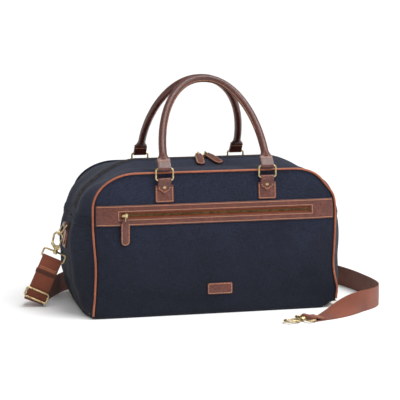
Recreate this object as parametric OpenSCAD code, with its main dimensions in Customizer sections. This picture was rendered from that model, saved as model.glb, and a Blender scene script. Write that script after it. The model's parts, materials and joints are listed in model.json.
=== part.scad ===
// Weekender bag: a canvas holdall with leather trim, two rolled handles and a webbing shoulder strap.
// Origin: centre of the base on the floor. +X runs along the length, -Y is the front, +Z is up.

/* [Bag] */
// Length of the front panel between its piped edges
panel_l = 450; // [430:5:480]
// Height of the front panel at its piped top edge
panel_h = 260; // [255:5:275]
// Depth of the base, front to back
base_d = 250; // [240:5:270]
// How far the ends swell beyond the piping
end_bulge = 36; // [26:1:42]
// How far the top domes above the piping
top_dome = 13; // [8:1:18]
// Thickness of the canvas walls
wall = 2.4; // [1.8:0.2:3]

/* [Trim] */
// Height of the leather facing of the front pocket zip
facing_h = 37; // [34:1:42]
// Diameter of the piping
piping_d = 4.6; // [4:0.2:5]
// Distance from the middle of the bag to each handle tab
tab_x = 96; // [85:1:110]
// Width of the handle tabs
tab_w = 34; // [30:1:38]

/* [Handles] */
// Rise of a handle above its rings, along the handle
handle_rise = 188; // [160:2:190]
// Diameter of the rolled handle
handle_d = 13.5; // [13:0.5:17]
// Lean of each handle towards the middle, in degrees
handle_lean = 35.3; // [30:0.1:35.4]

/* [Hardware] */
// Wire diameter of the rings and loops
wire_d = 3.6; // [3:0.2:4]
// Width of the shoulder strap webbing
webbing_w = 38; // [36:1:40]
// Thickness of the shoulder strap webbing
webbing_t = 1.8; // [1.4:0.1:2.2]

/* [Hidden] */

canvas = [0.14, 0.17, 0.24];
leather = [0.45, 0.25, 0.19];
brass = [0.76, 0.64, 0.40];
bronze = [0.36, 0.30, 0.22];
rust = [0.50, 0.27, 0.17];
tan_leather = [0.72, 0.40, 0.25];
cotton = [0.55, 0.50, 0.42];
rope = [0.80, 0.74, 0.60];
fibreboard = [0.25, 0.22, 0.20];
gap = 0.3;
$fn = 32;

// The outline of the front panel: straight sides, elliptical top corners
base_t = 3;
corner_x = 78;
corner_z = 60;
side_h = panel_h - corner_z;
lean = 15;
panel_bow = 6;
flat_part = 0.8;
function half_depth(z) = base_d / 2 - lean * z / panel_h;
function half_width(z) = z <= side_h ? panel_l / 2
    : panel_l / 2 - corner_x + corner_x * sqrt(max(0, 1 - pow((z - side_h) / corner_z, 2)));
function bow(s, z) = panel_bow * sin(180 * z / panel_h)
    * (abs(s) < flat_part ? 1 : cos(90 * (abs(s) - flat_part) / (1 - flat_part)));
function panel_point(s, z, out) = [half_width(z) * s, -half_depth(z) - bow(s, z) - out, z];
function panel_y(z) = -half_depth(z) - panel_bow * sin(180 * z / panel_h);

// The gusset runs round the panels: domed on top with a sag each side of the zip, dipping at the corners
// and swelling at the ends.
// Its stations d count the way along the rim from the middle of the top; v runs across it, from -1 to 1
top_half = panel_l / 2 - corner_x;
corner_run = 109;
dip = 2.6;
sag = 6;
shoulder = 8;
hollow = 2;  // the end is pressed in a little behind the strap's loop
function ease(from, to, d) = let (t = min(1, max(0, (d - from) / (to - from)))) t * t * (3 - 2 * t);
function hump(d, middle, width) = exp(-pow((d - middle) / width, 2));
function ridge(d) = top_dome * (1 - ease(125, 185, d)) - dip * hump(d, 210, 26)
    + end_bulge * ease(195, 350, d) * (1 - 0.6 * pow(max(0, d - 351) / 105, 2))
    - hollow * hump(d, 363, 20);
function shoulders(d) = shoulder * ease(190, 240, d)
    * (1 - 0.5 * ease(290, 350, d) - 0.5 * ease(400, 456, d));
function rise(d, v) = ridge(d) * (1 - pow(abs(v), 1.8 + 2.2 * ease(150, 260, d)))
    + shoulders(d) * hump(abs(v), 0.6, 0.25) * (1 - pow(v, 8))
    - sag * hump(abs(v), 0.5, 0.22) * (1 - ease(100, 150, d));
function side_station(z) = top_half + corner_run + side_h - z;
function side_x(z, v) = panel_l / 2 + rise(side_station(z), v);

// Points of the rim: x, z, the outward direction there, and the station
corner_steps = 8;
function corner_normal(a) = let (n = [cos(a) / corner_x, sin(a) / corner_z]) n / norm(n);
corner = [for (i = [0:corner_steps]) let (a = 90 * i / corner_steps, n = corner_normal(a))
    [top_half + corner_x * cos(a), side_h + corner_z * sin(a), n[0], n[1],
        top_half + corner_run * (1 - a / 90)]];
rim = concat(
    [for (c = corner) [-c[0], c[1], -c[2], c[3], c[4]]],
    [for (x = [-125, -98, -49, 0, 49, 98, 125]) [x, panel_h, 0, 1, abs(x)]],
    [for (i = [corner_steps:-1:0]) corner[i]]);
function gusset_point(r, v, out) = let (d = rise(r[4], v) + out)
    [r[0] + r[2] * d, v * half_depth(r[1]), r[1] + r[3] * d];
seam_low = 170;
seam_rise = 6;
function seam_z(v) = seam_low + seam_rise * (1 - pow(abs(v), 1.8));
function gusset_row(v, out) = concat(
    [[-side_x(seam_z(v), v) - out, v * half_depth(seam_z(v)), seam_z(v)]],
    [for (r = rim) gusset_point(r, v, out)],
    [[side_x(seam_z(v), v) + out, v * half_depth(seam_z(v)), seam_z(v)]]);

// A curved sheet between two grids of points; rows run up and columns run right as seen from outside
module sheet(outer, inner) {
    m = len(outer);
    n = len(outer[0]);
    k = m * n;
    function quad(a, b, c, d) = [[a, b, c], [a, c, d]];
    faces = concat(
        [for (i = [0:m - 2], j = [0:n - 2]) let (a = i * n + j, b = a + n)
            each concat(quad(a, b, b + 1, a + 1), quad(k + a, k + a + 1, k + b + 1, k + b))],
        [for (j = [0:n - 2]) let (a = j, b = (m - 1) * n + j)
            each concat(quad(a, a + 1, k + a + 1, k + a), quad(b + 1, b, k + b, k + b + 1))],
        [for (i = [0:m - 2]) let (a = i * n, b = a + n - 1)
            each concat(quad(a + n, a, k + a, k + a + n), quad(b, b + n, k + b + n, k + b))]);
    polyhedron(concat([for (r = outer) each r], [for (r = inner) each r]), faces);
}

// A sheet that lies on the front panel, between two heights and two sides
panel_cols = [-1, -0.96, -0.92, -0.87, -0.8, 0, 0.8, 0.87, 0.92, 0.96, 1];
module front_sheet(rows, cols, out, t) {
    sheet([for (z = rows) [for (s = cols) panel_point(s, z, out)]],
        [for (z = rows) [for (s = cols) panel_point(s, z, out - t)]]);
}

// A tube swept along points, each with its own sideways axis and two radii
module swept(path, side, radii, sides) {
    n = len(path);
    function along(i) = let (d = path[min(i + 1, n - 1)] - path[max(i - 1, 0)]) d / norm(d);
    function across(i) = let (c = cross(along(i), side[i])) c / norm(c);
    points = [for (i = [0:n - 1], j = [0:sides - 1]) let (a = 360 * (j + 0.5) / sides)
        path[i] + side[i] * radii[i][0] * cos(a) + across(i) * radii[i][1] * sin(a)];
    faces = concat(
        [for (i = [0:n - 2], j = [0:sides - 1]) let (a = i * sides + j, b = i * sides + (j + 1) % sides)
            each [[a, a + sides, b + sides], [a, b + sides, b]]],
        [[for (j = [0:sides - 1]) j]],
        [[for (j = [sides - 1:-1:0]) (n - 1) * sides + j]]);
    polyhedron(points, faces);
}

// Canvas walls. The gusset's parts end just inside the front and back panels
panel_rows = [base_t, 30, 70, 115, 160, side_h, 220, 236, 248, 256, panel_h];
slot_l = 366;
slot_h = 18;
pocket_z = 187;
module front_panel() {
    color(canvas) difference() {
        front_sheet(panel_rows, panel_cols, 0, wall);
        translate([-slot_l / 2, -base_d, pocket_z - slot_h / 2]) cube([slot_l, base_d, slot_h]);
    }
}
module back_panel() {
    color(canvas) mirror([0, 1, 0]) front_sheet(panel_rows, panel_cols, 0, wall);
}
tape_edge = 0.14;
gusset_edge = 1 - (wall + 0.15) / (base_d / 2 - lean);
strip_rows = [-gusset_edge, -0.86, -0.68, -0.5, -0.32, -tape_edge];
module top_front_strip() {
    color(canvas) sheet([for (v = strip_rows) gusset_row(v, 0)], [for (v = strip_rows) gusset_row(v, -wall)]);
}
module top_back_strip() {
    color(canvas) mirror([0, 1, 0]) sheet([for (v = strip_rows) gusset_row(v, 0)],
        [for (v = strip_rows) gusset_row(v, -wall)]);
}
end_cols = [gusset_edge, 0.8, 0.55, 0.28, 0, -0.28, -0.55, -0.8, -gusset_edge];
end_steps = 8;
function end_z(v, i) = base_t + (seam_z(v) - base_t) * i / end_steps;
function end_point(v, i, out) = let (z = end_z(v, i)) [-side_x(z, v) - out, v * half_depth(z), z];
module left_end_panel() {
    color(canvas) sheet([for (i = [0:end_steps]) [for (v = end_cols) end_point(v, i, 0)]],
        [for (i = [0:end_steps]) [for (v = end_cols) end_point(v, i, -wall)]]);
}
module right_end_panel() {
    color(canvas) mirror([1, 0, 0]) sheet([for (i = [0:end_steps]) [for (v = end_cols) end_point(v, i, 0)]],
        [for (i = [0:end_steps]) [for (v = end_cols) end_point(v, i, -wall)]]);
}
function base_outline(inset) = concat(
    [for (v = [-1:0.2:1]) [side_x(0, v) - inset, v * (base_d / 2 - inset)]],
    [for (v = [1:-0.2:-1]) [inset - side_x(0, v), v * (base_d / 2 - inset)]]);
module base_panel() {
    color(canvas) linear_extrude(base_t) polygon(base_outline(0));
}
board_t = 2.5;
board_inset = 12;
module base_board() {
    color(fibreboard) translate([0, 0, base_t + gap]) linear_extrude(board_t)
        polygon(base_outline(board_inset));
}

// The lining: a thin closed bag inside the walls
lining_inset = wall + 1.8;
lining_t = 0.8;
lining_v = [-1, -0.75, -0.45, 0, 0.45, 0.75, 1];
function lining_y(v, z, inset) = v * (half_depth(z) - inset);
function lining_floor(inset) = base_t + board_t + 2 * gap + inset - lining_inset;
function lining_loop(v, inset) = concat(
    [for (z = [lining_floor(inset), 60, 120, 180])
        [-side_x(z, v) + inset, lining_y(v, z, inset), z]],
    [for (r = rim) let (p = gusset_point(r, v, -inset)) [p[0], lining_y(v, r[1], inset), p[2]]],
    [for (z = [180, 120, 60, lining_floor(inset)])
        [side_x(z, v) - inset, lining_y(v, z, inset), z]]);
module lining_solid(inset) {
    loops = [for (v = lining_v) lining_loop(v, inset)];
    n = len(loops[0]);
    m = len(loops);
    polyhedron([for (l = loops) each l], concat(
        [for (i = [0:m - 2], j = [0:n - 1]) let (a = i * n + j, b = i * n + (j + 1) % n)
            each [[a, a + n, b + n], [a, b + n, b]]],
        [[for (j = [0:n - 1]) j]],
        [[for (j = [n - 1:-1:0]) (m - 1) * n + j]]));
}
module lining() {
    color(cotton) difference() {
        lining_solid(lining_inset);
        lining_solid(lining_inset + lining_t);
    }
}

// Piping round both panels, from one bottom corner over the top to the other
piping_out = 1.9;
function piping_point(x, z, n) = [x + n[0] * piping_out, -half_depth(z) - piping_out, z + n[1] * piping_out];
piping_path = concat(
    [for (z = [3, 40, 90, 140, 180]) piping_point(-panel_l / 2, z, [-1, 0])],
    [for (r = rim) piping_point(r[0], r[1], [r[2], r[3]])],
    [for (z = [180, 140, 90, 40, 3]) piping_point(panel_l / 2, z, [1, 0])]);
module piping() {
    color(tan_leather) swept(piping_path, [for (p = piping_path) [0, 1, 0]],
        [for (p = piping_path) [piping_d / 2, piping_d / 2]], 8);
}
module front_piping() {
    piping();
}
module back_piping() {
    mirror([0, 1, 0]) piping();
}

// Front zip pocket
facing_t = 2;
facing_rows = [pocket_z - facing_h / 2, pocket_z, pocket_z + facing_h / 2];
opening_l = 354;
opening_h = 10.5;
facing_cols = [-0.985, -0.96, -0.92, -0.87, -0.8, 0, 0.8, 0.87, 0.92, 0.96, 0.985];
module pocket_facing() {
    color(leather) difference() {
        front_sheet(facing_rows, facing_cols, facing_t + gap, facing_t);
        translate([-opening_l / 2, -base_d, pocket_z - opening_h / 2]) cube([opening_l, base_d, opening_h]);
    }
}
tape_t = 0.9;
module pocket_tape() {
    color(rust) front_sheet([pocket_z - slot_h / 2 + gap, pocket_z, pocket_z + slot_h / 2 - gap],
        [-0.8, 0, 0.8], 0, tape_t);
}
chain_w = 4.6;
chain_t = 1.6;
chain_half = 352 / panel_l;
module pocket_teeth() {
    color(bronze) front_sheet([pocket_z - chain_w / 2, pocket_z, pocket_z + chain_w / 2],
        [-chain_half, 0, chain_half], chain_t + 0.05, chain_t);
}
module pocket_bag() {
    color(cotton) front_sheet([60, 90, 120, 150, 178], [-0.76, 0, 0.76], -wall - 0.5, 0.7);
}

// A zip slider: a body over the chain and a bridge for its link. The chain runs along X, the face looks to -Y
slider_l = 11;
slider_t = 3.4;
bridge_y = 7.2;
bridge_d = 1.8;
bridge_half = 2;
module linear_extrude_y(h) {
    rotate([90, 0, 0]) linear_extrude(h) children();
}
module slider() {
    color(brass) {
        linear_extrude_y(slider_t) hull() {
            translate([-slider_l / 2 + 2, 0]) circle(2, $fn = 24);
            for (z = [-1.2, 1.2]) translate([slider_l / 2 - 3, z]) circle(3, $fn = 24);
        }
        for (x = [-bridge_half - 1.2, bridge_half]) translate([x, -bridge_y, -1])
            cube([1.2, bridge_y - slider_t + 0.5, 2]);
        translate([-bridge_half - 1.2, -bridge_y, 0]) rotate([0, 90, 0])
            cylinder(h = 2 * bridge_half + 2.4, d = bridge_d, $fn = 24);
    }
}
// The wire link hangs on the bridge, which lies along X at the origin, and carries the leather pull
link_r = 2.2;
link_d = 1.3;
link_l = 7;
module link() {
    color(brass) {
        for (a = [0, 180]) translate([0, 0, a == 0 ? 0 : -link_l]) rotate([a, 0, 0]) rotate([90, 0, 90])
            rotate_extrude(angle = 180, $fn = 32) translate([link_r, 0]) circle(link_d / 2, $fn = 24);
        for (y = [-link_r, link_r]) translate([0, y, -link_l]) cylinder(h = link_l, d = link_d, $fn = 24);
    }
}
// A flat leather pull below the link, with a slot for the wire
pull_l = 54;
pull_w = 16;
pull_neck = 11;
pull_t = 2.6;
pull_top = 4.4;
shoulder_z = -13.5;
function arc(r, from, to, steps) = [for (i = [0:steps])
    let (a = from + (to - from) * i / steps) r * [cos(a), sin(a)]];
pull_end = [for (p = arc(pull_w / 2, 180, 360, 16)) p + [0, pull_w / 2 - pull_l]];
pull_outline = concat(pull_end, [[pull_w / 2, shoulder_z], [pull_neck / 2, shoulder_z + 3.5],
    [pull_neck / 2, -pull_top], [-pull_neck / 2, -pull_top], [-pull_neck / 2, shoulder_z + 3.5],
    [-pull_w / 2, shoulder_z]]);
module pull() {
    color(leather) translate([0, pull_t / 2, 0]) linear_extrude_y(pull_t) difference() {
        polygon(pull_outline);
        translate([-1.2, -link_l - link_r - 1.2]) square([2.4, 2.7]);
    }
}
pocket_slider_x = -170;
chain_y = panel_y(pocket_z) - chain_t - 0.05;
slider_y = chain_y - 0.25;
pocket_tilt = 3;
module at_pocket_link() {
    translate([pocket_slider_x, slider_y - bridge_y, pocket_z]) rotate([pocket_tilt, 0, 0]) children();
}
module pocket_slider() {
    translate([pocket_slider_x, slider_y, pocket_z]) slider();
}
module pocket_link() {
    at_pocket_link() link();
}
module pocket_pull() {
    at_pocket_link() pull();
}

// Main zip along the top
main_t = 0.9;
main_rows = [-tape_edge + 0.004, 0, tape_edge - 0.004];
main_drop = 0.4;
module main_tape() {
    color(canvas * 0.8) sheet([for (v = main_rows) gusset_row(v, -main_drop)],
        [for (v = main_rows) gusset_row(v, -main_drop - main_t)]);
}
teeth_v = 0.021;
teeth_rows = [-teeth_v, 0, teeth_v];
module main_teeth() {
    color(bronze) sheet([for (v = teeth_rows) gusset_row(v, chain_t - main_drop + 0.05)],
        [for (v = teeth_rows) gusset_row(v, 0.05 - main_drop)]);
}
main_slider_x = 7;
main_slider_z = panel_h + top_dome + chain_t - main_drop + gap;
// Each pull lies on the front strip, which falls away from the zip
strip_fall = 16;
module at_main_slider(side) {
    translate([side * main_slider_x, 0, main_slider_z]) children();
}
module main_slider(side) {
    at_main_slider(side) mirror([side > 0 ? 1 : 0, 0, 0]) rotate([-90, 0, 0]) slider();
}
module at_main_link(side, yaw) {
    at_main_slider(side) translate([0, 0, bridge_y]) rotate([strip_fall - 90, 0, 0])
        rotate([0, yaw, 0]) children();
}
left_yaw = 6;
right_yaw = -20;
module main_slider_left() {
    main_slider(-1);
}
module main_slider_right() {
    main_slider(1);
}
module main_link_left() {
    at_main_link(-1, left_yaw) link();
}
module main_link_right() {
    at_main_link(1, right_yaw) link();
}
module main_pull_left() {
    at_main_link(-1, left_yaw) pull();
}
module main_pull_right() {
    at_main_link(1, right_yaw) pull();
}

// Label patch, plain
label_w = 47;
label_h = 21;
label_z = 47;
label_x = 5;
label_t = 1.8;
module label_patch() {
    color(leather) translate([label_x, panel_y(label_z) - gap - 0.15, label_z])
        linear_extrude_y(label_t) rounded(label_w, label_h, 3);
}
module rounded(w, h, r) {
    union() {
        square([w - 2 * r, h], center = true);
        square([w, h - 2 * r], center = true);
        for (x = [-1, 1], y = [-1, 1]) translate([x * (w / 2 - r), y * (h / 2 - r)]) circle(r, $fn = 24);
    }
}

// Rings: rounded rectangles of round wire in the XZ plane
module wire_frame(w, h, r, d) {
    for (x = [-1, 1]) translate([x * (w - d) / 2, 0, -h / 2 + r + d / 2])
        cylinder(h = h - d - 2 * r, d = d, $fn = 24);
    for (z = [-1, 1]) translate([-w / 2 + r + d / 2, 0, z * (h - d) / 2]) rotate([0, 90, 0])
        cylinder(h = w - d - 2 * r, d = d, $fn = 24);
    for (a = [0, 1], b = [0, 1]) mirror([a, 0, 0]) mirror([0, 0, b])
        translate([(w - d) / 2 - r, 0, (h - d) / 2 - r]) rotate([90, 0, 0])
            rotate_extrude(angle = 90, $fn = 32) translate([r, 0]) circle(d / 2, $fn = 24);
}
ring_w = 35;
ring_h = 24;
ring_z = 249;
ring_y = -117.4;
ring_pitch = ring_h - wire_d;
module ring(x) {
    color(brass) translate([x, ring_y, ring_z + ring_pitch / 2]) wire_frame(ring_w, ring_h, 4, wire_d);
}
module front_left_ring() {
    ring(-tab_x);
}
module front_right_ring() {
    ring(tab_x);
}
module back_left_ring() {
    mirror([0, 1, 0]) ring(-tab_x);
}
module back_right_ring() {
    mirror([0, 1, 0]) ring(tab_x);
}

// A leather tab: a loop round a bar at the origin and a flat body hanging below it, the bag towards +Y
neck_w = 24;
loop_in = wire_d / 2 + 0.25;
leather_t = 2;
loop_out = loop_in + leather_t;
tab_t = 1.6 * leather_t;
module tab(w, drop, back) {
    color(leather) difference() {
        union() {
            rotate([0, 90, 0]) translate([0, 0, -neck_w / 2]) cylinder(h = neck_w, r = loop_out);
            translate([-neck_w / 2, back - leather_t, -9]) cube([neck_w, loop_out - back + leather_t, 9]);
            translate([-neck_w / 2, -loop_out, -9]) cube([neck_w, 2 * loop_out - 1, 9]);
            translate([0, back, 0]) linear_extrude_y(tab_t) polygon([[-neck_w / 2, -7], [neck_w / 2, -7],
                [w / 2, -12], [w / 2, -drop], [-w / 2, -drop], [-w / 2, -12]]);
        }
        rotate([0, 90, 0]) translate([0, 0, -neck_w]) cylinder(h = 2 * neck_w, r = loop_in);
    }
}
tab_drop = 40.5;
tab_lean = 7.1;
tab_back = 5.4;
module handle_tab(x) {
    translate([x, ring_y, ring_z]) rotate([-tab_lean, 0, 0]) tab(tab_w, tab_drop, tab_back);
}
module front_left_tab() {
    handle_tab(-tab_x);
}
module front_right_tab() {
    handle_tab(tab_x);
}
module back_left_tab() {
    mirror([0, 1, 0]) handle_tab(-tab_x);
}
module back_right_tab() {
    mirror([0, 1, 0]) handle_tab(tab_x);
}
rivet_r = 3;
rivet_h = 1.4;
module rivet() {
    color(brass) rotate([90, 0, 0]) {
        cylinder(h = rivet_h * 0.6, r = rivet_r, $fn = 24);
        cylinder(h = rivet_h, r = rivet_r * 0.7, $fn = 24);
    }
}
rivet_drop = 13;
module tab_rivets() {
    for (b = [0, 1], x = [-tab_x, tab_x]) mirror([0, b, 0]) translate([x, ring_y, ring_z])
        rotate([-tab_lean, 0, 0]) translate([0, tab_back - tab_t - 0.05, -rivet_drop]) rivet();
}

// Handles: a rolled arch between two flat ends that wrap the rings' upper bars
handle_steps = 30;
flat_end_h = 17;
flare_end = 9;
arch_rise = handle_rise - flat_end_h;
function arch(a) = [-tab_x * pow(abs(cos(a)), 0.94) * sign(cos(a)), 0, flat_end_h + arch_rise * sin(a)];
function flare(a) = let (t = 1 - min(1, min(a, 180 - a) / flare_end))
    [handle_d / 2 + (neck_w - handle_d) / 2 * t, handle_d / 2 - 3.8 * t];
arch_angles = [for (i = [0:handle_steps]) 180 * i / handle_steps];
arch_path = [for (a = arch_angles) arch(a)];
function arch_side(i) = let (d = arch_path[min(i + 1, handle_steps)] - arch_path[max(i - 1, 0)],
    c = cross([0, 1, 0], d)) c / norm(c);
module arch_tube(shrink, shorten) {
    span = [for (i = [shorten:handle_steps - shorten]) i];
    swept([for (i = span) arch_path[i]], [for (i = span) arch_side(i)],
        [for (i = span) flare(arch_angles[i]) - [shrink, shrink]], 12);
}
leather_wall = 2;
module handle_end(side) {
    translate([side * tab_x, 0, 0]) difference() {
        union() {
            rotate([0, 90, 0]) translate([0, 0, -neck_w / 2]) cylinder(h = neck_w, r = loop_out);
            translate([-neck_w / 2, -3, 0]) cube([neck_w, 6, flat_end_h + 1.5]);
        }
        rotate([0, 90, 0]) translate([0, 0, -neck_w]) cylinder(h = 2 * neck_w, r = loop_in);
    }
}
module placed_handle() {
    translate([0, ring_y, ring_z + ring_pitch]) rotate([-handle_lean, 0, 0]) children();
}
module handle() {
    color(leather) placed_handle() {
        difference() {
            arch_tube(0, 0);
            arch_tube(leather_wall, 2);
        }
        for (side = [-1, 1]) handle_end(side);
    }
}
module handle_core() {
    color(rope) placed_handle() arch_tube(leather_wall + 0.3, 3);
}
module front_handle() {
    handle();
}
module back_handle() {
    mirror([0, 1, 0]) handle();
}
module front_handle_core() {
    handle_core();
}
module back_handle_core() {
    mirror([0, 1, 0]) handle_core();
}

// End tabs and their rings
end_ring_z = 155;
end_tab_off = 1.9;
end_ring_x = side_x(end_ring_z, 0) + tab_back + end_tab_off;
end_tab_lean = -11.0;
end_tab_drop = 42;
end_tab_w = 30;
end_rivet_drop = 30;
module end_tab() {
    rotate([0, 0, 90]) tab(end_tab_w, end_tab_drop, tab_back);
}
module left_end_tab() {
    mirror([1, 0, 0]) right_end_tab();
}
module right_end_tab() {
    translate([end_ring_x, 0, end_ring_z]) rotate([0, end_tab_lean, 0]) end_tab();
}
module end_tab_rivets() {
    for (b = [0, 1]) mirror([b, 0, 0]) translate([end_ring_x, 0, end_ring_z]) rotate([0, end_tab_lean, 0])
        rotate([0, 0, 90]) translate([0, tab_back - tab_t - 0.05, -end_rivet_drop]) rivet();
}
// A D-ring in the YZ plane: straight bar at the origin, bow hanging below
d_ring_w = 34;
d_ring_h = 27;
module d_ring() {
    r = (d_ring_w - wire_d) / 2;
    straight = d_ring_h - wire_d - r;
    color(brass) rotate([0, 0, 90]) {
        translate([-r, 0, 0]) rotate([0, 90, 0]) cylinder(h = 2 * r, d = wire_d, $fn = 24);
        for (x = [-r, r]) translate([x, 0, 0]) sphere(d = wire_d, $fn = 24);
        for (x = [-r, r]) translate([x, 0, -straight]) cylinder(h = straight, d = wire_d, $fn = 24);
        translate([0, 0, -straight]) rotate([-90, 0, 0]) rotate_extrude(angle = 180, $fn = 48)
            translate([r, 0]) circle(wire_d / 2, $fn = 24);
    }
}
left_d_swing = 36;
right_d_swing = 15;
module left_d_ring() {
    mirror([1, 0, 0]) translate([end_ring_x, 0, end_ring_z]) rotate([0, -left_d_swing, 0]) d_ring();
}
module right_d_ring() {
    translate([end_ring_x, 0, end_ring_z]) rotate([0, -right_d_swing, 0]) d_ring();
}

// Strap hardware. Each loop stands in the XZ plane with its boss at the origin and its lower bar below
loop_w = 47;
loop_h = 19;
stud_r = 1.9;
boss_r = 4.2;
boss_h = 5;
module strap_loop(boss_turn) {
    color(brass) difference() {
        union() {
            translate([0, 0, -(loop_h - wire_d) / 2]) wire_frame(loop_w, loop_h, 4, wire_d);
            rotate([0, boss_turn, 0]) translate([0, 0, -boss_h / 2]) cylinder(h = boss_h, r = boss_r);
        }
        rotate([0, boss_turn, 0]) translate([0, 0, -boss_h]) cylinder(h = 2 * boss_h, r = stud_r + 0.08);
    }
}
// A snap hook standing on the loop's boss, its swivel along Z, its gate on the +X side
bow_r = 8.4;
bow_z = 29;
hook_d = 3.8;
shank_d = 4.2;
nose_angle = -12;
pivot = [4.4, 9.5];
arm_z = 13;
arm = [[-3.4, 5], [1.4, 5], [1.4, 9], [-5.8, 16], [-10.8, 16], [-10.8, 13]];
pin_r = 0.9;
module hook() {
    color(brass) difference() {
        union() {
            translate([0, 0, -boss_h / 2 - 2.2]) cylinder(h = 2, r = 3.4);
            translate([0, 0, -boss_h / 2 - 0.4]) cylinder(h = boss_h + 1.4, r = stud_r);
            translate([0, 0, boss_h / 2 + 0.3]) cylinder(h = 3.4, r = 4);
            translate([-3, -3.6, boss_h / 2 + 2]) cube([4.8, 7.2, 5]);
            for (y = [-3.6, 2.2]) translate([-1, y, boss_h / 2 + 2]) cube([8, 1.4, 7.6]);
            translate([0, 2.5, 0]) linear_extrude_y(5) polygon(arm);
            translate([-bow_r, 0, arm_z]) cylinder(h = bow_z - arm_z + 0.3, d = shank_d, $fn = 24);
            translate([0, 0, bow_z]) rotate([90, 0, 0]) rotate([0, 0, nose_angle])
                rotate_extrude(angle = 180 - nose_angle, $fn = 64) translate([bow_r, 0])
                    circle(hook_d / 2, $fn = 24);
        }
        translate([pivot[0], 5, pivot[1]]) rotate([90, 0, 0]) cylinder(h = 10, r = pin_r + 0.05, $fn = 24);
    }
}
// A round rod between two places in the XZ plane
module rod(from, to, d) {
    v = to - from;
    translate([from[0], 0, from[1]]) rotate([0, atan2(v[0], v[1]), 0]) cylinder(h = norm(v), d = d, $fn = 24);
}
nose = [bow_r * cos(nose_angle), bow_z + bow_r * sin(nose_angle)];
gate_top = nose + (pivot - nose) / norm(pivot - nose) * 2.2;
module gate() {
    color(brass) difference() {
        union() {
            rod(pivot, gate_top, 3);
            translate([pivot[0], 1.6, pivot[1]]) rotate([90, 0, 0]) cylinder(h = 3.2, r = 2.3, $fn = 24);
        }
        translate([pivot[0], 5, pivot[1]]) rotate([90, 0, 0]) cylinder(h = 10, r = pin_r + 0.05, $fn = 24);
    }
}
module gate_pin() {
    color(bronze) translate([pivot[0], 3.6, pivot[1]]) rotate([90, 0, 0])
        cylinder(h = 7.2, r = pin_r, $fn = 24);
}
left_boss = [-279.7, -1, 104.1];
left_turn = [0, 23.8, -10.7];
hook_lean = -12.8;
module left_loop() {
    translate(left_boss) rotate(left_turn) strap_loop(hook_lean);
}
// The hook follows its own line from the loop up to the ring
module at_left_hook() {
    translate(left_boss) rotate(left_turn) rotate([0, hook_lean, 0]) children();
}
module left_hook() {
    at_left_hook() hook();
}
module left_gate() {
    at_left_hook() gate();
}
module left_gate_pin() {
    at_left_hook() gate_pin();
}

// The doubled end of the strap hangs from the loop's lower bar
bar_z = -(loop_h - wire_d);
leg_l = 84.8;
turn_in = wire_d / 2 + 0.4;
leg_back_l = 28;
turn_out = turn_in + webbing_t;
module webbing_turn(long_side, short_side) {
    rotate([90, 0, 90]) translate([0, 0, -webbing_w / 2]) linear_extrude(webbing_w)
        polygon(concat(arc(turn_out, 180, 0, 24), short_side, arc(turn_in, 0, 180, 24), long_side));
}
module at_leg() {
    translate(left_boss) rotate(left_turn) translate([0, 0, bar_z]) children();
}
module strap_leg() {
    color(rust) at_leg() webbing_turn([[-turn_in, -leg_l], [-turn_out, -leg_l]],
        [[turn_out, -leg_back_l], [turn_in, -leg_back_l]]);
}
band_z = -29;
band_h = 7;
module strap_band() {
    color(rust * 0.6) at_leg() translate([0, 0, band_z - band_h / 2]) difference() {
        translate([-webbing_w / 2 - 1.4, -turn_out - 1.4, 0])
            cube([webbing_w + 2.8, 2 * turn_out + 2.8, band_h]);
        translate([-webbing_w / 2 - 0.2, -turn_out - 0.2, -1])
            cube([webbing_w + 0.4, 2 * turn_out + 0.4, band_h + 2]);
    }
}
// The adjuster: its outer bars pass in front of the webbing and its middle bar behind
adjuster_z = -73;
adjuster_w = 47;
adjuster_h = 21;
module strap_adjuster() {
    front = -turn_out - wire_d / 2 - 0.4;
    back = -turn_in + wire_d / 2 + 0.4;
    color(brass) at_leg() translate([0, 0, adjuster_z]) {
        translate([0, front, 0]) wire_frame(adjuster_w, adjuster_h, 4, wire_d);
        for (x = [-1, 1]) translate([x * (adjuster_w - wire_d) / 2, front, 0]) rotate([-90, 0, 0])
            cylinder(h = back - front, d = wire_d, $fn = 24);
        translate([-(adjuster_w - wire_d) / 2, back, 0]) rotate([0, 90, 0])
            cylinder(h = adjuster_w - wire_d, d = wire_d, $fn = 24);
        for (x = [-1, 1]) translate([x * (adjuster_w - wire_d) / 2, back, 0]) sphere(d = wire_d, $fn = 24);
    }
}

// The long run of the strap: x and y of its middle line, its lift off the floor, and the lean of its width
// in degrees, where 90 stands on edge and 180 lies flat
strap_route = [
    [-320.5, 4.6, 3.4, 21], [-320, 12, 0.8, 22], [-318, 22, 0, 30], [-312, 34, 0, 46], [-302, 48, 0, 66],
    [-288, 64, 0, 84], [-275, 84, 0, 90], [-263, 105, 0, 90], [-250, 127, 0, 90], [-232, 146, 0, 90],
    [-205, 156, 0, 90], [-170, 159, 0, 90], [-120, 159, 0, 90], [-60, 159, 0, 90], [0, 159, 0, 90],
    [60, 159, 0, 90], [120, 159, 0, 90], [175, 158, 0, 90], [220, 151, 0, 90], [252, 136, 0, 90],
    [275, 112, 0, 90], [290, 84, 0, 90], [301, 52, 0, 90], [310, 16, 0, 90], [316, -24, 0, 90],
    [320, -62, 0, 90], [320, -94, 0, 90], [314, -120, 0, 90], [302, -141, 0, 90], [284, -157, 0, 94],
    [262, -170, 0, 104], [240, -181.5, 0, 125], [218, -191, 0, 147], [197, -198.8, 0, 168],
    [180, -204.5, 0, 180], [166, -209, 0.1, 180], [152.7, -213.8, 0.4, 180]];
route_n = len(strap_route);
floor_gap = 0.2;
function standing(lift, a) = lift + floor_gap + webbing_w / 2 * sin(a) + webbing_t / 2 * abs(cos(a));
function route_point(i) = let (r = strap_route[max(0, min(route_n - 1, i))])
    [r[0], r[1], standing(r[2], r[3])];
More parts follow.
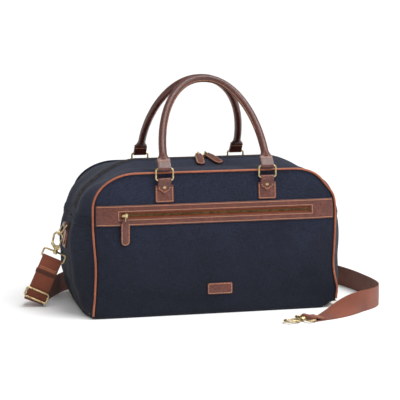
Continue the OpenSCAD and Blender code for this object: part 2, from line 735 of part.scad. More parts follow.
function between(a, b, c, d, t) = 0.5 * (2 * b + (c - a) * t + (2 * a - 5 * b + 4 * c - d) * t * t
    + (3 * b - a - 3 * c + d) * t * t * t);
strap_path = concat([for (i = [0:route_n - 2], t = [0, 0.5])
    between(route_point(i - 1), route_point(i), route_point(i + 1), route_point(i + 2), t)],
    [route_point(route_n - 1)]);
strap_lean = concat([for (i = [0:route_n - 2], t = [0, 0.5])
    strap_route[i][3] * (1 - t) + strap_route[i + 1][3] * t], [strap_route[route_n - 1][3]]);
function strap_along(i) = let (n = len(strap_path),
    d = strap_path[min(i + 1, n - 1)] - strap_path[max(i - 1, 0)]) d / norm(d);
function strap_side(i) = let (flat = cross([0, 0, 1], strap_along(i)))
    cos(strap_lean[i]) * flat / norm(flat) + [0, 0, sin(strap_lean[i])];
module strap_webbing() {
    n = len(strap_path);
    function face(i) = let (c = cross(strap_along(i), strap_side(i))) c / norm(c);
    points = [for (i = [0:n - 1], c = [[-1, -1], [1, -1], [1, 1], [-1, 1]])
        strap_path[i] + strap_side(i) * c[0] * webbing_w / 2 + face(i) * c[1] * webbing_t / 2];
    color(rust) polyhedron(points, concat(
        [for (i = [0:n - 2], j = [0:3]) let (a = 4 * i + j, b = 4 * i + (j + 1) % 4)
            each [[a, a + 4, b + 4], [a, b + 4, b]]],
        [[0, 1, 2, 3]], [[4 * n - 1, 4 * n - 2, 4 * n - 3, 4 * n - 4]]));
}

// The free end lies flat on the floor, heading away from the strap
free_place = [148, -215.5, 4.6];
free_turn = [0, 0, 200];
module at_free() {
    translate(free_place) rotate(free_turn) rotate([0, 0, -90]) rotate([-90, 0, 0]) children();
}
fold_l = 24;
fold_under = 4;
module strap_fold() {
    landed = turn_in - webbing_t - gap;
    color(rust) at_free() webbing_turn(
        [[-turn_in, -2], [landed + webbing_t, -16], [landed + webbing_t, -fold_l], [landed, -fold_l],
            [landed, -16], [-turn_out, -2]],
        [[turn_out, -fold_under], [turn_in, -fold_under]]);
}
module at_free_boss() {
    at_free() translate([0, 0, -bar_z]) children();
}
module free_loop() {
    at_free_boss() strap_loop(0);
}
module free_hook() {
    at_free_boss() hook();
}
module free_gate() {
    at_free_boss() gate();
}
module free_gate_pin() {
    at_free_boss() gate_pin();
}

front_panel();
back_panel();
top_front_strip();
top_back_strip();
left_end_panel();
right_end_panel();
base_panel();
base_board();
lining();
front_piping();
back_piping();
pocket_facing();
pocket_tape();
pocket_teeth();
pocket_bag();
pocket_slider();
pocket_link();
pocket_pull();
main_tape();
main_teeth();
main_slider_left();
main_slider_right();
main_link_left();
main_link_right();
main_pull_left();
main_pull_right();
label_patch();
front_left_tab();
front_right_tab();
back_left_tab();
back_right_tab();
front_left_ring();
front_right_ring();
back_left_ring();
back_right_ring();
tab_rivets();
front_handle();
back_handle();
front_handle_core();
back_handle_core();
left_end_tab();
right_end_tab();
end_tab_rivets();
left_d_ring();
right_d_ring();
left_loop();
left_hook();
left_gate();
left_gate_pin();
strap_leg();
strap_band();
strap_adjuster();
strap_webbing();
strap_fold();
free_loop();
free_hook();
free_gate();
free_gate_pin();
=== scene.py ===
import json
import math

import bmesh
import bpy
from mathutils import Euler, Matrix, Vector, noise

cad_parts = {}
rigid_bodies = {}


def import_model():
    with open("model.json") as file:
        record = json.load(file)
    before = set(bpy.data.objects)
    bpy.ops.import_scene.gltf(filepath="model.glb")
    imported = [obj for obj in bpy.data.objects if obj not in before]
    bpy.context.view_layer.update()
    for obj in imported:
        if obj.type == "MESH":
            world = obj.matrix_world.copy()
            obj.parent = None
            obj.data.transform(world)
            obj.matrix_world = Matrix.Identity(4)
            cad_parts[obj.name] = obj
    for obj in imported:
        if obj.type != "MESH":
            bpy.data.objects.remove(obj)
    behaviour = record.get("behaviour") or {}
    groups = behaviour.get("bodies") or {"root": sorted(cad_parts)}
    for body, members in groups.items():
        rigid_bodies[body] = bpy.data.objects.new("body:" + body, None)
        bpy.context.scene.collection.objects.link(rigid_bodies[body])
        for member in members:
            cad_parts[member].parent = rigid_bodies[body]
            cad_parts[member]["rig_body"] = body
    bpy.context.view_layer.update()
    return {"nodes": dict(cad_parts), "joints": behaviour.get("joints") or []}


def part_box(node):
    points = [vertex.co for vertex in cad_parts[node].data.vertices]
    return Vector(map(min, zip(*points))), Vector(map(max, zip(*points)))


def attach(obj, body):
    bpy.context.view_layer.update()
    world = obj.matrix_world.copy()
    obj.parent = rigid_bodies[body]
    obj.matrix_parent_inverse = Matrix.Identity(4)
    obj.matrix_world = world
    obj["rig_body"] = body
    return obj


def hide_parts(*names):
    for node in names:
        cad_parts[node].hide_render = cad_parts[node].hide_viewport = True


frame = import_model()
joints = {j["name"]: j for j in frame["joints"]}
mm = 0.001
xAxis, yAxis, zAxis = Matrix.Identity(3)


# small helpers


def at(jointName):
    return Vector(joints[jointName]["pos_m"])


def smooth(low, high, value):
    t = min(1.0, max(0.0, (value - low) / (high - low)))
    return t * t * (3 - 2 * t)


def bump(value, centre, width):
    return math.exp(-(((value - centre) / width) ** 2))


def mix(a, b, t):
    return a + (b - a) * t


def axesAt(origin, along, up):
    # a place whose X runs along and whose Z points up
    z = Vector(up).normalized()
    x = (Vector(along) - z * Vector(along).dot(z)).normalized()
    y = z.cross(x)
    return Matrix.Translation(origin) @ Matrix((x, y, z)).transposed().to_4x4()


def turned(x=0, y=0, z=0):
    return Euler((math.radians(x), math.radians(y), math.radians(z))).to_matrix().to_4x4()


flipY = Matrix.Scale(-1, 4, (0, 1, 0))
flipX = Matrix.Scale(-1, 4, (1, 0, 0))


def show(thing):
    bpy.context.scene.collection.objects.link(thing)


def meshFrom(bm, name):
    mesh = bpy.data.meshes.new(name)
    bm.to_mesh(mesh)
    bm.free()
    return mesh


def ripple(x, y, z):
    return noise.noise(Vector((x, y, z)))


def addPiece(name, bm, material, body, slot, replaces=(), place=None, shadeSmooth=True):
    if place is not None:
        bm.transform(place)
        if place.determinant() < 0:
            bmesh.ops.reverse_faces(bm, faces=bm.faces)
    mesh = meshFrom(bm, name)
    mesh.materials.append(material)
    if shadeSmooth:
        mesh.shade_smooth()
    piece = bpy.data.objects.new(name, mesh)
    show(piece)
    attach(piece, body)
    if replaces:
        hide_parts(*replaces)
    return piece


def thicken(piece, thickness, offset=-1.0):
    solid = piece.modifiers.new("thickness", "SOLIDIFY")
    solid.thickness = thickness
    solid.offset = offset


def roundEdges(piece, width, segments=2, angle=40):
    soft = piece.modifiers.new("edges", "BEVEL")
    soft.width = width
    soft.segments = segments
    soft.limit_method = "ANGLE"
    soft.angle_limit = math.radians(angle)


def shapedGrid(cols, rows, placeAt, size, outwards):
    # a grid whose points are carried onto a surface; its UVs are in metres
    bm = bmesh.new()
    uvLayer = bm.loops.layers.uv.new("UVMap")
    bmesh.ops.create_grid(bm, x_segments=cols, y_segments=rows, size=0.5, calc_uvs=True)
    for face in bm.faces:
        for loop in face.loops:
            u, v = loop.vert.co.x + 0.5, loop.vert.co.y + 0.5
            loop[uvLayer].uv = (u * size[0], v * size[1])
    for vert in bm.verts:
        vert.co = placeAt(vert.co.x + 0.5, vert.co.y + 0.5)
    bm.normal_update()
    lean = sum(f.normal.dot(outwards(f.calc_center_median())) * f.calc_area() for f in bm.faces)
    if lean < 0:
        bmesh.ops.reverse_faces(bm, faces=bm.faces)
    return bm


def cutFaces(bm, inside):
    bmesh.ops.delete(bm, geom=[f for f in bm.faces if inside(f.calc_center_median())], context="FACES")


def slab(outline, thickness, bevelWidth, groove=None):
    # a flat plate in XZ with its face towards -Y, its back on Y = 0
    bm = bmesh.new()
    corners = [bm.verts.new((x, 0, z)) for x, z in outline]
    bm.faces.new(corners)
    made = bmesh.ops.extrude_face_region(bm, geom=bm.faces[:])
    moved = [g for g in made["geom"] if isinstance(g, bmesh.types.BMVert)]
    bmesh.ops.translate(bm, verts=moved, vec=(0, -thickness, 0))
    bmesh.ops.recalc_face_normals(bm, faces=bm.faces)
    bm.normal_update()
    if groove:
        front = [f for f in bm.faces if f.normal.y < -0.9]
        bmesh.ops.inset_region(bm, faces=front, thickness=groove["margin"], use_even_offset=True)
        for depth in (-groove["depth"], groove["depth"]):
            bmesh.ops.inset_region(bm, faces=front, thickness=groove["width"], depth=depth,
                                   use_even_offset=True)
    rim = [e for e in bm.edges if len(e.link_faces) == 2 and e.calc_face_angle(0) > math.radians(60)]
    bmesh.ops.bevel(bm, geom=rim, offset=bevelWidth, segments=2, profile=0.5, affect="EDGES",
                    material=-1)
    return bm


def arc(radius, start, end, steps, centre=(0, 0)):
    angles = [math.radians(mix(start, end, i / steps)) for i in range(steps + 1)]
    return [(centre[0] + radius * math.cos(a), centre[1] + radius * math.sin(a)) for a in angles]


def roundedBox(width, low, high, radius, inset=0.0):
    x, low, high, r = width / 2 - inset, low + inset, high - inset, max(radius - inset, 0.3 * mm)
    outline = []
    for sx, z, start in ((1, high - r, 0), (-1, high - r, 90), (-1, low + r, 180), (1, low + r, 270)):
        outline += arc(r, start, start + 90, 5, (sx * (x - r), z))
    return outline


def distances(points):
    total, out = 0.0, [0.0]
    for a, b in zip(points, points[1:]):
        total += (b - a).length
        out.append(total)
    return out


def everyPitch(points, normals, pitch):
    # evenly spaced places along a line: centre, direction and normal
    dist = distances(points)
    count = max(1, round(dist[-1] / pitch))
    places, k = [], 0
    for i in range(count):
        d = (i + 0.5) * dist[-1] / count
        while dist[k + 1] < d:
            k += 1
        t = (d - dist[k]) / max(1e-9, dist[k + 1] - dist[k])
        places.append((points[k].lerp(points[k + 1], t), (points[k + 1] - points[k]).normalized(),
                       normals[k].lerp(normals[k + 1], t).normalized()))
    return places


def stamp(template, matrices):
    bm = bmesh.new()
    for matrix in matrices:
        one = template.copy()
        one.transform(matrix)
        bm.from_mesh(one)
        bpy.data.meshes.remove(one)
    return bm


def templateOf(build):
    bm = bmesh.new()
    build(bm)
    return meshFrom(bm, "template")


stitch = {"pitch": 3.3 * mm, "length": 2.3 * mm, "width": 1.15 * mm, "height": 1.0 * mm}
# a grain of rice: the long axis is X, once it is scaled
stitchShape = templateOf(
    lambda bm: bmesh.ops.create_uvsphere(bm, u_segments=6, v_segments=4, radius=0.5))


def sew(name, lines, material, body, pitch=stitch["pitch"], place=None):
    # every line is a list of points with one normal, or as many normals as points
    matrices = []
    for points, normals in lines:
        if isinstance(normals, Vector):
            normals = [normals] * len(points)
        size = Matrix.Diagonal((stitch["length"] * pitch / stitch["pitch"], stitch["width"],
                                stitch["height"], 1))
        for centre, along, normal in everyPitch(points, normals, pitch):
            spot = axesAt(centre + normal * stitch["height"] * 0.15, along, normal)
            matrices.append(spot @ size)
    addPiece(name, stamp(stitchShape, matrices), material, body, "thread", place=place)


def ribbonPiece(name, centres, sides, width, thickness, material, body, slot,
                replaces=(), place=None, across=6, widths=None, edge=0.3 * mm):
    # flat material along a line, with one sideways direction or one for each centre
    if isinstance(sides, Vector):
        sides = [sides] * len(centres)
    dist = distances(centres)
    last = len(centres) - 1

    def placeAt(u, v):
        i = min(last, round(u * last))
        w = widths[i] if widths else width
        return centres[i] + sides[i] * w * (v - 0.5)

    bm = bmesh.new()
    uvLayer = bm.loops.layers.uv.new("UVMap")
    bmesh.ops.create_grid(bm, x_segments=last, y_segments=across, size=0.5, calc_uvs=True)
    for face in bm.faces:
        for loop in face.loops:
            i = min(last, round((loop.vert.co.x + 0.5) * last))
            loop[uvLayer].uv = (dist[i], (loop.vert.co.y + 0.5) * width)
    for vert in bm.verts:
        vert.co = placeAt(vert.co.x + 0.5, vert.co.y + 0.5)
    piece = addPiece(name, bm, material, body, slot, replaces, place)
    thicken(piece, thickness, 0.0)
    roundEdges(piece, edge)
    return piece


def tubePiece(name, points, radius, material, body, slot, replaces):
    curve = bpy.data.curves.new(name, "CURVE")
    curve.dimensions = "3D"
    curve.bevel_depth = radius
    curve.bevel_resolution = 5
    curve.use_fill_caps = True
    spline = curve.splines.new("POLY")
    spline.points.add(len(points) - 1)
    for p, co in zip(spline.points, points):
        p.co = (*co, 1)
    drawn = bpy.data.objects.new(name + "Line", curve)
    show(drawn)
    mesh = bpy.data.meshes.new_from_object(drawn.evaluated_get(bpy.context.evaluated_depsgraph_get()))
    bpy.data.objects.remove(drawn)
    bm = bmesh.new()
    bm.from_mesh(mesh)
    bpy.data.meshes.remove(mesh)
    bmesh.ops.remove_doubles(bm, verts=bm.verts, dist=0.01 * mm)
    bmesh.ops.recalc_face_normals(bm, faces=bm.faces)
    return addPiece(name, bm, material, body, slot, replaces)


# camera

view = {"azimuth": -13.2, "elevation": 8.85, "distance": 2.88, "target": (-0.003, 0.0, 0.1915),
        "lens": 136.8}


def addCamera():
    a, e = math.radians(view["azimuth"]), math.radians(view["elevation"])
    back = Vector((math.sin(a) * math.cos(e), -math.cos(a) * math.cos(e), math.sin(e)))
    data = bpy.data.cameras.new("camera")
    data.lens = view["lens"]
    data.sensor_width = 36
    camera = bpy.data.objects.new("camera", data)
    show(camera)
    camera.location = Vector(view["target"]) + back * view["distance"]
    camera.rotation_mode = "QUATERNION"
    camera.rotation_quaternion = (-back).to_track_quat("-Z", "Y")
    bpy.context.scene.camera = camera


addCamera()
print("camera placed")


# materials


class Value:
    # wraps a shader socket so that sums on it add Math nodes
    def __init__(self, tree, socket):
        self.tree, self.socket = tree, socket

    def calc(self, operation, first, second=0.0):
        return addNode(self.tree, "ShaderNodeMath", {"operation": operation}, {0: first, 1: second})

    def __add__(self, other):
        return self.calc("ADD", self, other)

    def __sub__(self, other):
        return self.calc("SUBTRACT", self, other)

    def __rsub__(self, other):
        return self.calc("SUBTRACT", other, self)

    def __mul__(self, other):
        return self.calc("MULTIPLY", self, other)

    __radd__ = __add__
    __rmul__ = __mul__

    def sine(self):
        return self.calc("SINE", self)


def addNode(tree, kind, settings=None, inputs=None, output=0):
    node = tree.nodes.new(kind)
    for key, value in (settings or {}).items():
        setattr(node, key, value)
    for key, value in (inputs or {}).items():
        if isinstance(value, Value):
            tree.links.new(value.socket, node.inputs[key])
        else:
            node.inputs[key].default_value = value
    return Value(tree, node.outputs[output]) if node.outputs else node


def newMaterial(name):
    material = bpy.data.materials.new(name)
    material.use_nodes = True
    material.node_tree.nodes.clear()
    return material, material.node_tree


def finishMaterial(tree, inputs):
    shader = addNode(tree, "ShaderNodeBsdfPrincipled", {}, inputs)
    addNode(tree, "ShaderNodeOutputMaterial", {}, {"Surface": shader})


def objectPlace(tree):
    return addNode(tree, "ShaderNodeTexCoord", output=3)


def clothUV(tree):
    return addNode(tree, "ShaderNodeUVMap", {"uv_map": "UVMap"})


def part(tree, vector, axis):
    return addNode(tree, "ShaderNodeSeparateXYZ", inputs={0: vector}, output=axis)


def fractal(tree, coords, scale, detail=3.0, rough=0.55):
    return addNode(tree, "ShaderNodeTexNoise", {}, {"Vector": coords, "Scale": scale, "Detail": detail,
                                                    "Roughness": rough})


def blendColour(tree, mask, dark, light):
    return addNode(tree, "ShaderNodeMix", {"data_type": "RGBA"}, {0: mask, 6: dark, 7: light}, 2)


def ramp(tree, value, low, high):
    return addNode(tree, "ShaderNodeMapRange", {"interpolation_type": "SMOOTHSTEP"},
                   {"Value": value, "From Min": low, "From Max": high, "To Min": 0.0, "To Max": 1.0})


def bumped(tree, height, strength, distance):
    return addNode(tree, "ShaderNodeBump", {},
                   {"Height": height, "Strength": strength, "Distance": distance})


def spread(tree, coords, scale):
    return addNode(tree, "ShaderNodeMapping", {}, {"Vector": coords, "Scale": scale})


def rgb(red, green, blue):
    # a screen colour, as linear light
    light = [((c / 255 + 0.055) / 1.055) ** 2.4 if c > 10 else c / 3295 for c in (red, green, blue)]
    return (*light, 1.0)


def wovenCloth(name, dark, light, thread=0.75 * mm, roughness=0.9, sheen=0.25, relief=0.5, paintedTopLight=0.0):
    material, tree = newMaterial(name)
    uv, place = clothUV(tree), objectPlace(tree)
    across, up = part(tree, uv, 0), part(tree, uv, 1)
    beat = math.pi / thread
    weave = (across * beat).sine() * (up * beat).sine()
    slubAcross = fractal(tree, spread(tree, uv, (60.0, 1400.0, 1.0)), 1.0, 2.0)
    slubUp = fractal(tree, spread(tree, uv, (1400.0, 60.0, 1.0)), 1.0, 2.0)
    slubs = slubAcross * 0.5 + slubUp * 0.5
    fuzz = fractal(tree, place, 420.0, 4.0, 0.7)
    worn = fractal(tree, place, 11.0, 6.0, 0.7)
    tone = ramp(tree, slubs * 0.6 + fuzz * 0.5 + worn * 0.22 + weave * 0.08, 0.46, 0.86)
    if paintedTopLight:
        # painted light: the colour is made lighter towards the top, standing in for the stronger light
        # that falls on the upper part than on the lower
        level = part(tree, place, 2)
        tone = tone * (1 - paintedTopLight + ramp(tree, level + worn * 0.06, 0.03, 0.30) * paintedTopLight)
    height = weave * 0.5 + slubs * 0.9 + fuzz * 0.5
    finishMaterial(tree, {"Base Color": blendColour(tree, tone, dark, light), "Roughness": roughness,
                          "Sheen Weight": sheen, "Sheen Roughness": 0.5, "Specular IOR Level": 0.25,
                          "Normal": bumped(tree, height, relief, 0.35 * mm)})
    return material


def grainedLeather(name, dark, middle, light, roughness=0.42, grain=1.0, pull=0.6):
    material, tree = newMaterial(name)
    place = objectPlace(tree)
    wobble = fractal(tree, place, 300.0, 2.0)
    cells = addNode(tree, "ShaderNodeTexVoronoi", {"feature": "DISTANCE_TO_EDGE"},
                    {"Vector": place, "Scale": 820.0})
    pebble = ramp(tree, cells, 0.0, 0.22)
    clouds = fractal(tree, place, 26.0, 5.0, 0.62)
    streaks = fractal(tree, spread(tree, place, (1.0, 1.0, 1.6)), 150.0, 5.0, 0.65)
    lighter = ramp(tree, clouds * 0.5 + streaks * 0.3 + wobble * 0.2, 0.3, 0.72)
    worn = ramp(tree, streaks * 0.5 + clouds * 0.3 + wobble * 0.4, 0.6, 0.82)
    body = blendColour(tree, lighter, dark, middle)
    colour = blendColour(tree, worn * pull, body, light)
    creased = blendColour(tree, (1 - pebble) * 0.35, colour, dark)
    shine = roughness + streaks * 0.22 - 0.11 + (1 - pebble) * 0.12
    height = pebble * 0.6 + wobble * 0.5 + streaks * 0.8
    finishMaterial(tree, {"Base Color": creased, "Roughness": shine, "Coat Weight": 0.2,
                          "Coat Roughness": 0.3, "Normal": bumped(tree, height, 0.45 * grain, 0.3 * mm)})
    return material


def wornBrass(name, dark, light, roughness=0.24):
    material, tree = newMaterial(name)
    place = objectPlace(tree)
    smudge = fractal(tree, place, 160.0, 4.0, 0.6)
    scratch = fractal(tree, spread(tree, place, (1.0, 1.0, 9.0)), 900.0, 2.0)
    aged = ramp(tree, smudge * 0.7 + scratch * 0.3, 0.4, 0.68)
    finishMaterial(tree, {"Base Color": blendColour(tree, aged, light, dark), "Metallic": 1.0,
                          "Roughness": roughness + smudge * 0.22 + scratch * 0.1,
                          "Normal": bumped(tree, scratch + smudge * 0.6, 0.12, 0.1 * mm)})
    return material


def ribbedWebbing(name, dark, light, rib=1.5 * mm):
    material, tree = newMaterial(name)
    uv, place = clothUV(tree), objectPlace(tree)
    along, across = part(tree, uv, 0), part(tree, uv, 1)
    ribs = (along * (2 * math.pi / rib)).sine()
    yarns = (across * (2 * math.pi / (rib * 1.25)) + (along * (math.pi / rib)).sine() * 1.4).sine()
    fuzz = fractal(tree, place, 500.0, 4.0, 0.7)
    worn = fractal(tree, place, 18.0, 4.0)
    tone = ramp(tree, fuzz * 0.5 + worn * 0.5 + ribs * 0.09 + yarns * 0.08, 0.3, 0.72)
    finishMaterial(tree, {"Base Color": blendColour(tree, tone, dark, light), "Roughness": 0.78,
                          "Sheen Weight": 0.2, "Specular IOR Level": 0.3,
                          "Normal": bumped(tree, ribs * 0.6 + yarns * 0.5 + fuzz * 0.7, 0.6, 0.4 * mm)})
    return material


def twistedThread(name, dark, light):
    material, tree = newMaterial(name)
    place = objectPlace(tree)
    fuzz = fractal(tree, place, 1800.0, 2.0)
    finishMaterial(tree, {"Base Color": blendColour(tree, ramp(tree, fuzz, 0.3, 0.7), dark, light),
                          "Roughness": 0.7, "Normal": bumped(tree, fuzz, 0.3, 0.1 * mm)})
    return material


# the canvas carries painted light: its colour grows lighter towards the top, standing in for light from
# above
canvas = wovenCloth("navyCanvas", rgb(10, 12, 20), rgb(42, 48, 70), sheen=0.05, paintedTopLight=0.62)
liningCloth = wovenCloth("cottonLining", rgb(140, 126, 100), rgb(180, 168, 140), sheen=0.1)
rustTape = wovenCloth("rustZipTape", rgb(112, 52, 30), rgb(152, 78, 46), thread=0.5 * mm)
navyTape = wovenCloth("navyZipTape", rgb(12, 15, 24), rgb(34, 40, 56), thread=0.5 * mm)
leather = grainedLeather("brownLeather", rgb(78, 35, 25), rgb(106, 50, 37), rgb(140, 78, 60), 0.28)
handleLeather = grainedLeather("handleLeather", rgb(66, 28, 20), rgb(94, 44, 31), rgb(126, 70, 52), 0.2)
pipingLeather = grainedLeather("tanPiping", rgb(134, 66, 38), rgb(170, 92, 55), rgb(192, 120, 80),
                               0.45, 0.6)
brass = wornBrass("antiqueBrass", rgb(132, 110, 74), rgb(214, 194, 150))
bronze = wornBrass("darkBronze", rgb(52, 42, 32), rgb(118, 98, 68), 0.34)
webbing = ribbedWebbing("rustWebbing", rgb(92, 44, 30), rgb(142, 76, 52))
darkWebbing = ribbedWebbing("darkBinding", rgb(58, 28, 20), rgb(92, 48, 34), 1.1 * mm)
tanThread = twistedThread("tanThread", rgb(214, 138, 96), rgb(246, 190, 146))
navyThread = twistedThread("navyThread", rgb(12, 15, 24), rgb(30, 36, 52))
boardStock = grainedLeather("baseBoard", rgb(36, 32, 30), rgb(52, 47, 44), rgb(64, 58, 54), 0.7)
ropeCotton = wovenCloth("ropeCotton", rgb(190, 176, 148), rgb(222, 210, 184))
print("materials made")


# the shoulder strap, first of all

strap = {"width": 38 * mm, "thickness": 1.8 * mm, "length": 1.19, "floorGap": 0.2 * mm, "perSpan": 6}
# x, y, lift off the floor, and the lean of the width in degrees: 90 on edge, 180 flat
strapRoute = [
    (-0.3205, 0.0046, 0.0034, 21), (-0.320, 0.012, 0.0008, 22), (-0.318, 0.022, 0, 30),
    (-0.312, 0.034, 0, 46),
    (-0.302, 0.048, 0, 66), (-0.288, 0.064, 0, 84), (-0.275, 0.084, 0, 90), (-0.263, 0.105, 0, 90),
    (-0.250, 0.127, 0, 90), (-0.232, 0.146, 0, 90), (-0.205, 0.156, 0, 90), (-0.170, 0.159, 0, 90),
    (-0.120, 0.159, 0, 90), (-0.060, 0.159, 0, 90), (0, 0.159, 0, 90), (0.060, 0.159, 0, 90),
    (0.120, 0.159, 0, 90), (0.175, 0.158, 0, 90), (0.220, 0.151, 0, 90), (0.252, 0.136, 0, 90),
    (0.275, 0.112, 0, 90), (0.290, 0.084, 0, 90), (0.301, 0.052, 0, 90), (0.310, 0.016, 0, 90),
    (0.316, -0.024, 0, 90), (0.320, -0.062, 0, 90), (0.320, -0.094, 0, 90), (0.314, -0.120, 0, 90),
    (0.302, -0.141, 0, 90), (0.284, -0.157, 0, 94), (0.262, -0.170, 0, 104), (0.240, -0.1815, 0, 125),
    (0.218, -0.191, 0, 147), (0.197, -0.1988, 0, 168), (0.180, -0.2045, 0, 180),
    (0.166, -0.209, 0.0001, 180), (0.1527, -0.2138, 0.0004, 180)]


def routePoint(i):
    x, y, lift, lean = strapRoute[max(0, min(len(strapRoute) - 1, i))]
    a = math.radians(lean)
    rise = strap["width"] / 2 * math.sin(a) + strap["thickness"] / 2 * abs(math.cos(a))
    return Vector((x, y, lift + strap["floorGap"] + rise))


def between(a, b, c, d, t):
    return 0.5 * (2 * b + (c - a) * t + (2 * a - 5 * b + 4 * c - d) * t * t
                  + (3 * b - a - 3 * c + d) * t * t * t)


def strapStations():
    centres, leans = [], []
    spans = len(strapRoute) - 1
    for i in range(spans * strap["perSpan"] + 1):
        k = min(spans - 1, i // strap["perSpan"])
        t = i / strap["perSpan"] - k
        centres.append(between(*[routePoint(k + n) for n in (-1, 0, 1, 2)], t))
        leans.append(math.radians(mix(strapRoute[k][3], strapRoute[k + 1][3], t)))
    sides = []
    for i, lean in enumerate(leans):
        along = centres[min(len(centres) - 1, i + 1)] - centres[max(0, i - 1)]
        flat = zAxis.cross(along).normalized()
        sides.append(flat * math.cos(lean) + Vector((0, 0, math.sin(lean))))
    return centres, sides


strapCentres, strapSides = strapStations()
strapRun = ribbonPiece("shoulderStrap", strapCentres, strapSides, strap["width"], strap["thickness"],
                       webbing, "bag", "webbing", ["strap_webbing"], across=8)
print("strap laid")


# the bag's form

panelLow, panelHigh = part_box("front_panel")
baseLow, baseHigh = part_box("base_panel")
bag = {"halfLength": panelHigh.x, "height": panelHigh.z, "halfDepth": baseHigh.y, "floor": baseHigh.z,
       "lean": 15 * mm, "bow": 6 * mm, "flatPart": 0.8, "cornerX": 78 * mm, "cornerZ": 60 * mm,
       "swell": 36 * mm, "dome": 13 * mm, "hollow": 2 * mm, "dip": 2.6 * mm, "sag": 6 * mm,
       "shoulder": 8 * mm, "wall": 2.4 * mm, "seamLow": 170 * mm, "seamRise": 6 * mm,
       "cornerRun": 109 * mm}
sideHeight = bag["height"] - bag["cornerZ"]
topHalf = bag["halfLength"] - bag["cornerX"]
cornerEnd = topHalf + bag["cornerRun"]


def halfDepth(z):
    return bag["halfDepth"] - bag["lean"] * z / bag["height"]


def halfWidth(z):
    if z <= sideHeight:
        return bag["halfLength"]
    rise = min(1.0, (z - sideHeight) / bag["cornerZ"])
    return topHalf + bag["cornerX"] * math.sqrt(1 - rise * rise)


def bowOut(s, z):
    fade = 1 if abs(s) < bag["flatPart"] else math.cos(
        math.pi / 2 * (abs(s) - bag["flatPart"]) / (1 - bag["flatPart"]))
    return bag["bow"] * math.sin(math.pi * z / bag["height"]) * fade


def ridge(d):
    # the middle line: domed on top, a dip at the corner, then the swell of the end
    low = max(0, d - 351 * mm) / (105 * mm)
    end = bag["swell"] * smooth(195 * mm, 350 * mm, d) * (1 - 0.6 * low * low)
    dips = bag["dip"] * bump(d, 210 * mm, 26 * mm) + bag["hollow"] * bump(d, 363 * mm, 20 * mm)
    return bag["dome"] * (1 - smooth(125 * mm, 185 * mm, d)) - dips + end


def shoulders(d):
    fade = 1 - 0.5 * smooth(290 * mm, 350 * mm, d) - 0.5 * smooth(400 * mm, 456 * mm, d)
    return bag["shoulder"] * smooth(190 * mm, 240 * mm, d) * fade


def riseAt(d, v):
    # how far the gusset stands out from the rim, by the way along it and the place across
    power = 1.8 + 2.2 * smooth(150 * mm, 260 * mm, d)
    return (ridge(d) * (1 - abs(v) ** power) + shoulders(d) * bump(abs(v), 0.6, 0.25) * (1 - v ** 8)
            - bag["sag"] * bump(abs(v), 0.5, 0.22) * (1 - smooth(100 * mm, 150 * mm, d)))


def sideRise(z, v):
    return riseAt(cornerEnd + sideHeight - z, v)


def seamHeight(v):
    return bag["seamLow"] + bag["seamRise"] * (1 - abs(v) ** 1.8)


def settle(p):
    # the slack of the standing bag: wavy side edges and lifted lower corners
    x, z = p.x / bag["halfLength"], p.z / mm
    front = smooth(40 * mm, 105 * mm, abs(p.y))
    edge = smooth(0.6, 1.0, abs(x)) * front
    if x > 0:
        shift = 4.2 * bump(z, 26, 26) - 2.4 * bump(z, 86, 28)
        shift += 1.8 * bump(z, 175, 32) - 7.0 * bump(z, 234, 20)
    else:
        shift = -3.0 * bump(z, 4, 22) + 3.0 * bump(z, 92, 40) - 0.8 * bump(z, 170, 30)
    lift = (14.0 if x > 0 else 3.0) * smooth(0.84, 1.02, abs(x)) * (1 - smooth(0, 75, z)) * front
    sink = 5.0 * smooth(0, 105 * mm, p.y) * smooth(180, 262, z)
    # the right end is fuller behind than in front
    flat = 0.32 * max(0.0, p.x - bag["halfLength"]) * smooth(8 * mm, 62 * mm, -p.y)
    return Vector((p.x + shift * edge * mm - flat, p.y, p.z + (lift - sink) * mm))


labelSpot = (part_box("label_patch")[0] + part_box("label_patch")[1]) / 2
zipLine = (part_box("pocket_tape")[0].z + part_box("pocket_tape")[1].z) / 2
tabX = at("front_right_ring_swing").x


def frontSoft(s, z):
    x = halfWidth(z) * s
    rim = min(z - bag["floor"], bag["height"] - z, (1 - abs(s)) * halfWidth(z))
    still = (1 - bump(z, zipLine, 30 * mm)) * smooth(0, 22 * mm, rim)
    still *= 1 - bump(x, labelSpot.x, 45 * mm) * bump(z, labelSpot.z, 24 * mm)
    still *= 1 - bump(abs(x), tabX, 34 * mm) * smooth(185 * mm, 205 * mm, z)
    waves = 2.0 * ripple(x * 9, z * 12, 3.1) + 0.8 * ripple(x * 24, z * 30, 8.4)
    # soft folds that run from the upper corners down to the facing, and low puckers over the base seam
    slant = x / mm - 0.9 * (z / mm - 225)
    folds = 2.2 * bump(slant, 196, 13) * smooth(204, 222, z / mm) - 1.2 * bump(slant, 172, 12)
    folds += 1.6 * bump(z / mm, 150 + 0.1 * x / mm, 11) * smooth(80, 190, x / mm)
    folds -= 1.4 * bump(z / mm, 30 + 8 * math.sin(x * 28), 9)
    folds += 1.2 * bump(z / mm, 16, 8) * math.sin(x * 46)
    return (waves + folds) * still * mm


def frontSurface(x, z, out=0.0, side=-1):
    s = max(-1.0, min(1.0, x / halfWidth(z)))
    away = halfDepth(z) + bowOut(s, z) + out + frontSoft(s, z)
    return settle(Vector((halfWidth(z) * s, side * away, z)))


def fromMiddle(p):
    return p - Vector((0, 0, bag["height"] * 0.45))


panelRows = [mix(bag["floor"], 178 * mm, i / 36) for i in range(36)]
panelRows += [mix(178 * mm, 196 * mm, i / 4) for i in range(5)]
panelRows += [mix(sideHeight, bag["height"], math.sin(math.radians(90 * i / 16))) for i in range(17)]


def addCanvas(name, bm, node, wall=bag["wall"], offset=-1.0):
    thicken(addPiece(name, bm, canvas, "bag", "canvas", [node]), wall, offset)


